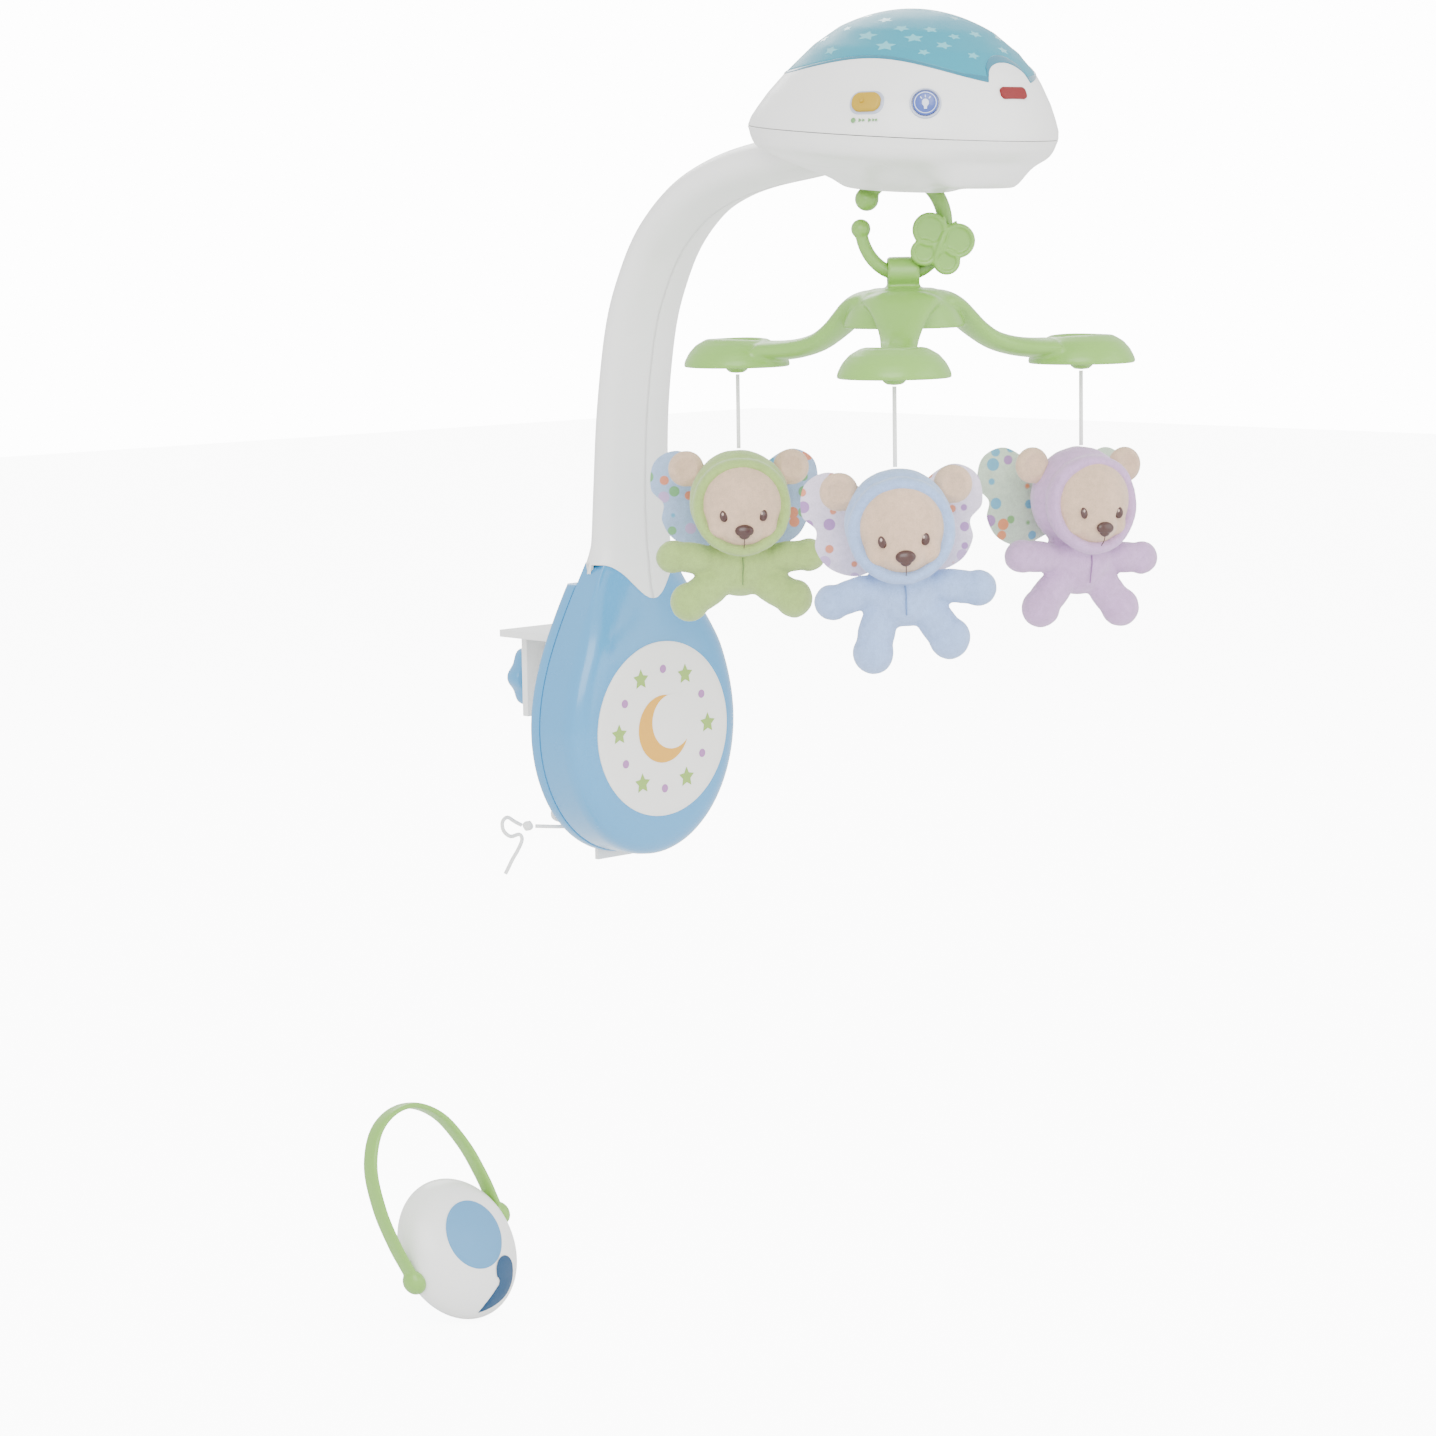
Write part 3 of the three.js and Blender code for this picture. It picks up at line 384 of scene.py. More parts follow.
STEEL = metal("steel", (0.55, 0.56, 0.58), "steel")
BRASS = metal("brass", (0.68, 0.46, 0.15), "brass")
BOARD = moulded("board_green", (0.02, 0.14, 0.05), "board_green", 0.4, 0.2)
SUITS: Dict[str, Finish] = {
    "green": plush("plush_green", (0.31, 0.45, 0.12), "plush_green"),
    "blue": plush("plush_blue", (0.29, 0.43, 0.72), "plush_blue"),
    "lilac": plush("plush_lilac", (0.50, 0.31, 0.55), "plush_lilac"),
}
# Darker suit colours for the line down each bear's front seam: painted shade standing in for the seam's
# groove.
SEAM_SHADES: Dict[str, Finish] = {
    "green": plush("seam_shade_green", (0.13, 0.23, 0.05), "plush_green"),
    "blue": plush("seam_shade_blue", (0.10, 0.19, 0.42), "plush_blue"),
    "lilac": plush("seam_shade_lilac", (0.24, 0.11, 0.28), "plush_lilac"),
}
PURPLE_SPOT: Colour = (0.30, 0.12, 0.38)
ORANGE_SPOT: Colour = (0.62, 0.16, 0.035)
GREEN_SPOT: Colour = (0.12, 0.34, 0.08)
BLUE_SPOT: Colour = (0.06, 0.30, 0.48)
PALE_SPOT: Colour = (0.46, 0.30, 0.55)
WING_PRINTS: Dict[str, Finish] = {
    "green": Print("wing_print_blue", (0.32, 0.44, 0.66), "wing_print", Surface.PILE, relief=0.1, sheen=0.15,
                   spots=(GREEN_SPOT, BLUE_SPOT, ORANGE_SPOT, PALE_SPOT), spot_scale=80.0),
    "blue": Print("wing_print_white", (0.70, 0.62, 0.76), "wing_print", Surface.PILE, relief=0.1, sheen=0.15,
                  spots=(PALE_SPOT, PURPLE_SPOT, ORANGE_SPOT), spot_scale=85.0),
    "lilac": Print("wing_print_mint", (0.50, 0.62, 0.48), "wing_print", Surface.PILE, relief=0.1, sheen=0.15,
                   spots=(ORANGE_SPOT, GREEN_SPOT, PURPLE_SPOT, BLUE_SPOT), spot_scale=75.0),
}


# --- Modelling helpers --------------------------------------------------------------------------


def dress(item: bpy.types.Object, finish: Finish, body: str,
          replaced: Sequence[str] = ()) -> bpy.types.Object:
    """Gives a piece its finish, its body and the CAD nodes that it stands for.

    Args:
        item: the piece.
        finish: its finish.
        body: the CAD body that it rides on.
        replaced: the CAD nodes that it replaces.

    Returns:
        The same piece.
    """
    if not item.data.materials:
        item.data.materials.append(finish.material())
    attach(item, body)
    if replaced:
        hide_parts(*replaced)
    log.info("built %s on %s", item.name, body)
    return item


def mesh_piece(name: str, bm: bmesh.types.BMesh, finish: Finish, sharp: float = 40.0) -> bpy.types.Object:
    """Turns a mesh built in millimetres into an object in metres.

    Args:
        name: the object's name.
        bm: the mesh, in millimetres, freed afterwards.
        finish: its finish.
        sharp: edges over this angle in degrees stay sharp.

    Returns:
        The new object.
    """
    bmesh.ops.remove_doubles(bm, verts=bm.verts, dist=0.002)
    bmesh.ops.recalc_face_normals(bm, faces=bm.faces)
    bmesh.ops.scale(bm, vec=(MM, MM, MM), verts=bm.verts)
    limit = math.radians(sharp)
    for face in bm.faces:
        face.smooth = True
    for edge in bm.edges:
        edge.smooth = not (edge.is_manifold and edge.calc_face_angle(0.0) > limit)
    mesh = bpy.data.meshes.new(name)
    bm.to_mesh(mesh)
    bm.free()
    mesh.materials.append(finish.material())
    item = bpy.data.objects.new(name, mesh)
    bpy.context.scene.collection.objects.link(item)
    return item


def applied(item: bpy.types.Object) -> bpy.types.Object:
    """Applies every modifier of a piece to its mesh.

    Args:
        item: the piece.

    Returns:
        The same piece.
    """
    graph = bpy.context.evaluated_depsgraph_get()
    old = item.data
    made = bpy.data.meshes.new_from_object(item.evaluated_get(graph))
    item.modifiers.clear()
    item.data = made
    made.name = item.name
    if isinstance(old, bpy.types.Mesh):
        bpy.data.meshes.remove(old)
    return item


def fused(item: bpy.types.Object, voxel: float, rounds: int = 8, strength: float = 0.5) -> bpy.types.Object:
    """Joins overlapping forms into one skin and softens the joins.

    Args:
        item: the piece, made of closed forms.
        voxel: the skin's grid, in millimetres.
        rounds: how often it is softened.
        strength: how much each time.

    Returns:
        The same piece.
    """
    skin = item.modifiers.new("skin", "REMESH")
    skin.mode = "VOXEL"
    skin.voxel_size = voxel * MM
    skin.use_smooth_shade = True
    soft = item.modifiers.new("soft", "SMOOTH")
    soft.factor = strength
    soft.iterations = rounds
    return applied(item)


def ball(bm: bmesh.types.BMesh, centre: Point, radii: Point, turn: Point = (0, 0, 0),
         sides: int = 32) -> None:
    """Adds an ellipsoid.

    Args:
        bm: the mesh that it joins.
        centre: its middle.
        radii: its three radii.
        turn: its turns about X, Y and Z, in degrees.
        sides: how many sides it has.
    """
    spin = Euler([math.radians(a) for a in turn]).to_matrix().to_4x4()
    matrix = Matrix.Translation(centre) @ spin @ Matrix.Diagonal((*radii, 1.0))
    bmesh.ops.create_uvsphere(bm, u_segments=sides, v_segments=sides // 2, radius=1.0, matrix=matrix)


def lathe(bm: bmesh.types.BMesh, profile: Sequence[Tuple[float, float]],
          sides: int = 96) -> List[bmesh.types.BMVert]:
    """Spins a profile of radius and height about Z.

    Args:
        bm: the mesh that it joins.
        profile: the radius and height of each point.
        sides: how many steps the spin takes.

    Returns:
        The new vertices.
    """
    before = set(bm.verts)
    line = [bm.verts.new((r, 0.0, z)) for r, z in profile]
    edges = [bm.edges.new(pair) for pair in zip(line, line[1:])]
    bmesh.ops.spin(bm, geom=line + edges, cent=(0, 0, 0), axis=(0, 0, 1), angle=2 * math.pi, steps=sides,
                   use_merge=True, use_duplicate=False)
    new = [v for v in bm.verts if v not in before]
    bmesh.ops.remove_doubles(bm, verts=new, dist=0.001)
    return [v for v in bm.verts if v not in before]


def skinned(bm: bmesh.types.BMesh, rings: Sequence[Sequence[Vector]],
            caps: Tuple[bool, bool] = (True, True)) -> None:
    """Extrudes a closed ring through a row of stations.

    Args:
        bm: the mesh that it joins.
        rings: the points of each station.
        caps: whether the first and the last station are closed.
    """
    count = len(rings[0])
    start = bmesh.ops.create_circle(bm, segments=count, radius=1.0)["verts"]
    for vert, point in zip(start, rings[0]):
        vert.co = point
    loop = start
    first_edges = [e for e in bm.edges if e.verts[0] in set(start) and e.verts[1] in set(start)]
    if caps[0]:
        bmesh.ops.contextual_create(bm, geom=first_edges)
    edges = first_edges
    for ring in rings[1:]:
        made = bmesh.ops.extrude_edge_only(bm, edges=edges)["geom"]
        fresh = [g for g in made if isinstance(g, bmesh.types.BMVert)]
        edges = [g for g in made if isinstance(g, bmesh.types.BMEdge)]
        follow = {v: i for i, v in enumerate(loop)}
        ordered: List[Optional[bmesh.types.BMVert]] = [None] * count
        for vert in fresh:
            near = next(e.other_vert(vert) for e in vert.link_edges if e.other_vert(vert) in follow)
            ordered[follow[near]] = vert
        for vert, point in zip(ordered, ring):
            vert.co = point
        loop = ordered
    if caps[1]:
        bmesh.ops.contextual_create(bm, geom=edges)


def through(points: Sequence[Sequence[float]], count: int) -> List[List[float]]:
    """Gives evenly spread rows on a smooth line through the given rows.

    Args:
        points: rows of numbers, each the same length.
        count: how many rows to give.

    Returns:
        The new rows.
    """
    rows = []
    last = len(points) - 1
    for step in range(count):
        at = step / (count - 1) * last
        i = min(int(at), last - 1)
        t = at - i
        a, b, c, d = (points[max(0, min(last, i + k))] for k in (-1, 0, 1, 2))
        rows.append([
            0.5
            * (2 * q + (r - p) * t + (2 * p - 5 * q + 4 * r - s) * t * t + (3 * q - p - 3 * r + s) * t ** 3)
            for p, q, r, s in zip(a, b, c, d)
        ])
    return rows


def patch(bm: bmesh.types.BMesh, outline: Sequence[Tuple[float, float]], place: Place, rings: int = 1,
          thickness: float = 0.3) -> None:
    """Adds a thin flat shape that lies on a surface.

    Args:
        bm: the mesh that it joins.
        outline: the shape's points in the surface's own two numbers.
        place: gives the point in space for two such numbers.
        rings: how many rings of faces it has from edge to middle.
        thickness: how thick it is.
    """
    middle_u = sum(u for u, _ in outline) / len(outline)
    middle_v = sum(v for _, v in outline) / len(outline)
    before = set(bm.verts)
    count = len(outline)
    verts = bmesh.ops.create_circle(bm, segments=count, radius=1.0)["verts"]
    for vert, (u, v) in zip(verts, outline):
        vert.co = (u, v, 0.0)
    edges = [e for e in bm.edges if e.verts[0] not in before and e.verts[1] not in before]
    for ring in range(rings):
        share = 1.0 - (ring + 1) / rings
        made = bmesh.ops.extrude_edge_only(bm, edges=edges)["geom"]
        edges = [g for g in made if isinstance(g, bmesh.types.BMEdge)]
        scale = share * rings / (rings - ring)
        for vert in (g for g in made if isinstance(g, bmesh.types.BMVert)):
            vert.co.x = middle_u + (vert.co.x - middle_u) * scale
            vert.co.y = middle_v + (vert.co.y - middle_v) * scale
    new = [v for v in bm.verts if v not in before]
    bmesh.ops.remove_doubles(bm, verts=new, dist=0.0005)
    new = [v for v in bm.verts if v not in before]
    for vert in new:
        vert.co = place(vert.co.x, vert.co.y)
    faces = [f for f in bm.faces if all(v not in before for v in f.verts)]
    bmesh.ops.solidify(bm, geom=faces, thickness=thickness)


def disc(radius: float, centre: Tuple[float, float] = (0.0, 0.0), stretch: float = 1.0, turn: float = 0.0,
         count: int = 28) -> List[Tuple[float, float]]:
    """Gives the outline of a disc or an oval.

    Args:
        radius: its half width.
        centre: its middle.
        stretch: its height over its width.
        turn: its turn in degrees.
        count: how many points it has.

    Returns:
        The outline.
    """
    c, s = math.cos(math.radians(turn)), math.sin(math.radians(turn))
    points = []
    for i in range(count):
        a = 2 * math.pi * i / count
        x, y = radius * math.cos(a), radius * stretch * math.sin(a)
        points.append((centre[0] + x * c - y * s, centre[1] + x * s + y * c))
    return points


def star(radius: float, centre: Tuple[float, float], turn: float = 0.0) -> List[Tuple[float, float]]:
    """Gives the outline of a five-pointed star with plump arms."""
    points = []
    for i in range(10):
        a = math.radians(90 + turn + 36 * i)
        r = radius if i % 2 == 0 else radius * 0.5
        points.append((centre[0] + r * math.cos(a), centre[1] + r * math.sin(a)))
    return points


def wall_frame(at: Point, normal: Point) -> Matrix:
    """Gives the frame of a place on a wall: Z out of it, X level.

    Args:
        at: the place.
        normal: the wall's outward direction.

    Returns:
        The frame.
    """
    z = Vector(normal).normalized()
    x = Vector((0, 0, 1)).cross(z).normalized()
    y = z.cross(x)
    basis = Matrix((x, y, z)).transposed().to_4x4()
    return Matrix.Translation(at) @ basis


def line_piece(name: str, points: Sequence[Point], radius: float, finish: Finish, radii: Sequence[float] = (),
               smooth: bool = True) -> bpy.types.Object:
    """Makes a round line along points as a curve.

    Args:
        name: the object's name.
        points: the points, in millimetres.
        radius: its radius.
        finish: its finish.
        radii: a share of the radius at each point, or nothing.
        smooth: whether the line is drawn smoothly through the points.

    Returns:
        The curve object.
    """
    rows = [(*p, r) for p, r in zip(points, radii or [1.0] * len(points))]
    if smooth:
        rows = through(rows, 4 * (len(points) - 1) + 1)
    curve = bpy.data.curves.new(name, "CURVE")
    curve.dimensions = "3D"
    curve.bevel_depth = radius * MM
    curve.bevel_resolution = 4
    curve.use_fill_caps = True
    spline = curve.splines.new("POLY")
    spline.points.add(len(rows) - 1)
    for knot, (x, y, z, r) in zip(spline.points, rows):
        knot.co = (x * MM, y * MM, z * MM, 1.0)
        knot.radius = r
    spline.use_smooth = True
    curve.materials.append(finish.material())
    item = bpy.data.objects.new(name, curve)
    bpy.context.scene.collection.objects.link(item)
    return item


def meshed(item: bpy.types.Object) -> bpy.types.Object:
    """Turns a curve object into a mesh object of the same name.

    Args:
        item: the curve object.

    Returns:
        The mesh object.
    """
    graph = bpy.context.evaluated_depsgraph_get()
    mesh = bpy.data.meshes.new_from_object(item.evaluated_get(graph))
    name = item.name
    curve = item.data
    bpy.data.objects.remove(item)
    bpy.data.curves.remove(curve)
    mesh.name = name
    made = bpy.data.objects.new(name, mesh)
    bpy.context.scene.collection.objects.link(made)
    return made


# --- Studio -------------------------------------------------------------------------------------


@dataclass
class Studio:
    """The camera, the lights, the pale floor and the backdrop."""

    eye: Point = (-1.9578, -2.1883, 0.3248)
    right: Point = (0.7213, -0.6925, -0.0148)
    up: Point = (0.1024, 0.0855, 0.9911)
    forward: Point = (0.685, 0.7164, -0.1326)
    lens: float = 95.356
    floor_z: float = -0.4864

    def camera(self) -> None:
        """Sets the camera up."""
        data = bpy.data.cameras.new("camera")
        data.lens = self.lens
        data.sensor_width = 36.0
        data.clip_end = 60.0
        item = bpy.data.objects.new("camera", data)
        bpy.context.scene.collection.objects.link(item)
        back = -Vector(self.forward)
        basis = Matrix((Vector(self.right), Vector(self.up), back)).transposed().to_4x4()
        item.matrix_world = Matrix.Translation(self.eye) @ basis
        bpy.context.scene.camera = item

    def area(self, name: str, at: Point, size: float, power: float) -> None:
        """Adds a soft light that looks at the middle of the object.

        Args:
            name: the light's name.
            at: where it stands.
            size: how wide it is.
            power: its power in watts.
        """
        data = bpy.data.lights.new(name, "AREA")
        data.size = size
        data.energy = power
        item = bpy.data.objects.new(name, data)
        bpy.context.scene.collection.objects.link(item)
        aim = Vector((0.0, -0.25, 0.1)) - Vector(at)
        item.matrix_world = Matrix.Translation(at) @ aim.to_track_quat("-Z", "Y").to_matrix().to_4x4()

    def build(self) -> None:
        """Builds the studio."""
        self.camera()
        self.area("key", (-2.6, -2.4, 1.9), 2.6, 130.0)
        self.area("fill", (1.2, -3.0, 1.0), 2.6, 40.0)
        self.area("rim", (1.8, 2.2, 2.2), 2.0, 60.0)
        world = bpy.data.worlds.new("studio_world")
        world.use_nodes = True
        background = world.node_tree.nodes["Background"]
        background.inputs["Color"].default_value = (1.0, 1.0, 1.0, 1.0)
        g = Graph(world.node_tree)
        seen = g.add("ShaderNodeLightPath").outputs["Is Camera Ray"]
        g.join(g.spread(seen, 1.9, 14.0, (0.0, 1.0)), background.inputs["Strength"])
        bpy.context.scene.world = world
        bm = bmesh.new()
        bmesh.ops.create_grid(bm, x_segments=1, y_segments=1, size=9000.0,
                              matrix=Matrix.Translation((0, 0, self.floor_z / MM)))
        pale = moulded("floor_pale", (0.92, 0.92, 0.92), "white_plastic", 0.6, 0.0)
        floor = mesh_piece("floor", bm, pale)
        g = Graph(pale.material().node_tree)
        shader = g.tree.nodes["Principled BSDF"]
        shader.inputs["Emission Color"].default_value = (1.0, 1.0, 1.0, 1.0)
        seen = g.add("ShaderNodeLightPath").outputs["Is Camera Ray"]
        g.join(g.spread(seen, 0.0, 9.0, (0.0, 1.0)), shader.inputs["Emission Strength"])


# --- Cords --------------------------------------------------------------------------------------


@dataclass
class Cords:
    """The three hanging cords and the tie cord with its bow."""

    radius: float = 1.5
    string_top: float = 205.65
    string_bottom: float = 151.8
    route: Tuple[Point, ...] = (
        (-44, -22.8, -110), (-44.5, -17, -113), (-46, -8, -124), (-42, 2, -136), (-32, 10, -143),
        (-26, 3, -145),
        (-26, -8, -145.5), (-33, -15.5, -145), (-43, -17, -144.5), (-52, -13.5, -144), (-59, -8, -143.5),
        (-65, -4, -143),
    )
    bow: Tuple[Point, ...] = (
        (-75, 1, -141.5), (-81, 2, -138), (-88, 2, -134), (-93, 2, -137), (-92, 2, -144), (-86, 1, -149),
        (-79, -1, -148), (-78, -3, -152), (-82, -3, -159), (-87, -2, -166), (-91, -1, -173), (-93, 0, -177),
    )

    def length(self, points: Sequence[Point]) -> float:
        """Gives the length of a smooth line through points, in metres."""
        rows = [Vector(p) for p in through(points, 8 * len(points))]
        return sum((b - a).length for a, b in zip(rows, rows[1:])) * MM

    def string(self, name: str) -> None:
        """Builds one hanging cord.

        Args:
            name: the colour of the bear that hangs on it.
        """
        low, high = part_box(f"string_{name}")
        x, y = (low.x + high.x) / 2 / MM, (low.y + high.y) / 2 / MM
        steps = 16
        heights = [self.string_top + (self.string_bottom - self.string_top) * i / steps
                   for i in range(steps + 1)]
        item = line_piece(f"cord_{name}", [(x, y, z) for z in heights], self.radius, CORD, smooth=False)
        dress(item, CORD, f"cord_{name}", [f"string_{name}"])

    def build(self) -> None:
        """Builds all the cords."""
        for name in ("green", "blue", "lilac"):
            self.string(name)
        tie = line_piece("tie_line", self.route, self.radius, CORD)
        dress(tie, CORD, "base", ["tie_cord"])
        bow = line_piece("tie_loop", self.bow, self.radius, CORD)
        dress(bow, CORD, "base", ["tie_bow"])
        knot = self.knot()
        [v * MM for v in self.route[0]]
        self.length(self.route)
        [v * MM for v in self.bow[0]]
        self.length(self.bow)

    def knot(self) -> bpy.types.Object:
        """Builds the knot: three turns of cord round a core.

        Returns:
            The knot.
        """
        bm = bmesh.new()
        middle = (-70.0, -1.0, -142.5)
        ball(bm, middle, (4.0, 3.2, 3.4))
        for turn, tilt in ((0, 20), (60, -30), (120, 15)):
            lean = Euler((math.radians(tilt), math.radians(turn), 0)).to_matrix().to_4x4()
            matrix = Matrix.Translation(middle) @ lean
            for i in range(16):
                a = 2 * math.pi * i / 16
                at = matrix @ Vector((3.0 * math.cos(a), 3.0 * math.sin(a), 0))
                ball(bm, tuple(at), (1.4, 1.4, 1.4), sides=10)
        item = fused(mesh_piece("tie_knot_turns", bm, CORD), 0.5, 3)
        return dress(item, CORD, "base")


# --- Base and clamp -----------------------------------------------------------------------------


@dataclass
class Base:
    """The blue teardrop base with its label, and the clamp behind it."""

    half_width: float = 85.5
    widest_z: float = -66.0
    drop: float = 100.0
    top_half_width: float = 36.0
    top_z: float = 60.0
    front_y: float = -80.0
    split_y: float = -35.35
    housing_top: float = 44.0
    arm_y: float = -47.0
    arm_depth: float = 20.8
    back_y: float = -23.6
    label_radius: float = 67.0
    print_ring_radius: float = 46.0
    label_z: float = -67.5

    def outline(self, grow: float = 0.0) -> List[Tuple[float, float]]:
        """Gives the teardrop's outline in X and Z.

        Args:
            grow: how far it moves outwards.

        Returns:
            The points, from the right side round the bottom and up to the top.
        """
        points = []
        for i in range(49):
            a = -math.pi * i / 48
            points.append((self.half_width * math.cos(a), self.widest_z + self.drop * math.sin(a)))
        controls = ((-85.5, -66.0), (-85.5, -22.0), (-60.0, 20.0), (-self.top_half_width, self.top_z))
        side = []
        for i in range(1, 25):
            t = i / 24
            weights = ((1 - t) ** 3, 3 * t * (1 - t) ** 2, 3 * t * t * (1 - t), t ** 3)
            side.append(tuple(sum(w * c[k] for w, c in zip(weights, controls)) for k in (0, 1)))
        top = [(-self.top_half_width * (1 - i / 6), self.top_z) for i in range(1, 12)]
        points += side + top + [(-x, z) for x, z in reversed(side)]
        middle = Vector((0.0, self.widest_z))
        return [tuple(Vector(p) + (Vector(p) - middle).normalized() * grow) for p in points]

    def half_width_at(self, z: float) -> float:
        """Gives the outline's half width at a height above its widest place."""
        side = [(x, h) for x, h in self.outline() if x >= 0.0 and h >= self.widest_z]
        return max((x for x, h in side if h >= min(z, self.top_z)), default=self.top_half_width)

    def front(self, x: float, z: float, edge: float = 100.0) -> float:
        """Gives the depth of the crowned front, which turns into the arm's oval towards the top.

        Args:
            x: the place across.
            z: the height.
            edge: the distance from the outline.

        Returns:
            The Y value.
        """
        share = min(max(1.0 - edge / 26.0, 0.0), 1.0)
        crown = self.front_y + 18.0 * (1.0 - (1.0 - share ** 2.4) ** (1 / 2.4))
        rise = min(max((z + 12.0) / 72.0, 0.0), 1.0)
        rise = rise * rise * (3 - 2 * rise)
        if rise == 0.0:
            return crown
        reach = 1.13 * self.half_width_at(z)
        oval = self.arm_y - self.arm_depth * math.sqrt(max(0.0, 1.0 - (x / reach) ** 2))
        return crown * (1.0 - rise) + oval * rise

    def cover(self) -> None:
        """Builds the front cover."""
        edge = self.outline()
        rings = [[Vector((x, self.split_y, z)) for x, z in edge]]
        rings.append([Vector((x, self.front(x, z, 0.0) + 1.5, z)) for x, z in edge])
        middle = Vector((0.0, self.widest_z))
        for depth in (0.0, 0.8, 2.0, 4.0, 6.5, 10.0, 14.0, 19.0, 26.0):
            ring = []
            for p in edge:
                at = Vector(p) + (middle - Vector(p)).normalized() * depth
                ring.append(Vector((at.x, self.front(at.x, at.y, depth), at.y)))
            rings.append(ring)
        last = [(v.x, v.z) for v in rings[-1]]
        for share in (0.88, 0.76, 0.64, 0.52, 0.4, 0.28, 0.16, 0.04):
            ring = []
            for x, z in last:
                at_x, at_z = x * share, self.widest_z + (z - self.widest_z) * share
                ring.append(Vector((at_x, self.front(at_x, at_z), at_z)))
            rings.append(ring)
        bm = bmesh.new()
        skinned(bm, rings)
        dress(mesh_piece("base_cover", bm, BASE_BLUE, 60.0), BASE_BLUE, "base", ["base_front_cover"])

    def housing(self) -> None:
        """Builds the back housing, a little wider than the cover."""
        rings = []
        for grow, y in ((-2.5, self.back_y + 0.0), (-0.6, self.back_y - 0.5), (0.8, self.back_y - 2.2),
                        (1.2, self.back_y - 4.0), (1.2, self.split_y + 2.0), (0.6, self.split_y + 0.5)):
            rings.append([Vector((x, y, min(z, self.housing_top))) for x, z in self.outline(grow)])
        bm = bmesh.new()
        skinned(bm, rings)
        item = mesh_piece("base_back", bm, BASE_BLUE, 50.0)
        dress(item, BASE_BLUE, "base", ["base_back_housing"])

    def on_label(self, depth: float) -> Place:
        """Gives the place on the label's front for two numbers from its middle."""
        return lambda u, v: Vector((u, self.front_y + depth, self.label_z + v))

    def label(self) -> None:
        """Builds the round label and its print: a crescent moon in a ring of stars and dots."""
        bm = bmesh.new()
        skinned(bm, [[self.on_label(depth)(x, z) for x, z in disc(self.label_radius * share, count=96)]
                     for share, depth in ((1.0, 0.9), (1.0, -0.5), (0.993, -0.8), (0.9, -0.82), (0.5, -0.83),
                                          (0.05, -0.84))])
        dress(mesh_piece("label_disc", bm, LABEL, 50.0), LABEL, "base", ["base_label"])
        ring = [(self.print_ring_radius * math.cos(math.tau * i / 12),
                 self.print_ring_radius * math.sin(math.tau * i / 12))
                for i in range(12)]
        layers = (
            ("moon", LABEL_YELLOW, 1.1, [disc(26, count=64)]),
            ("moon_hollow", LABEL, 1.25, [disc(21, (9, 5), count=64)]),
            ("stars", LABEL_GREEN, 1.1, [star(8, place) for place in ring[::2]]),
            ("dots", LABEL_LILAC, 1.1, [disc(3.2, place) for place in ring[1::2]]),
        )
        for name, finish, lift, shapes in layers:
            bm = bmesh.new()
            for shape in shapes:
                u, v = (sum(point[i] for point in shape) / len(shape) for i in (0, 1))
                skinned(bm,
                        [[self.on_label(depth - lift)(u + (x - u) * share, v + (z - v) * share)
                          for x, z in shape]
                             for share, depth in ((1.0, 0.15), (1.0, 0.0), (0.5, -0.01), (0.05, -0.02))])
            dress(mesh_piece(f"label_{name}", bm, finish), finish, "base")

    def knob(self) -> None:
        """Builds the clamp's knob: a fluted cap with a domed middle."""
        low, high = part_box("clamp_knob")
        centre = (low + high) / 2 / MM
        radius = (high.x - low.x) / 2 / MM
        depth = (high.y - low.y) / MM
        rings = []
        for share, at in ((0.82, 0.0), (0.96, 0.06), (1.0, 0.15), (1.0, 0.7), (0.97, 0.86), (0.88, 0.97),
                          (0.7, 1.0)):
            ring = []
            for i in range(96):
                a = 2 * math.pi * i / 96
                r = radius * share * (0.93 + 0.07 * math.cos(6 * a))
                ring.append(Vector((centre.x + r * math.cos(a), low.y / MM + depth * at,
                                    centre.z + r * math.sin(a))))
            rings.append(ring)
        bm = bmesh.new()
        skinned(bm, rings)
        dress(mesh_piece("knob", bm, BASE_BLUE, 60.0), BASE_BLUE, "clamp_screw", ["clamp_knob"])

    def build(self) -> None:
        """Builds the base."""
        self.cover()
        self.housing()
        self.label()
        self.knob()


# --- Arm ----------------------------------------------------------------------------------------


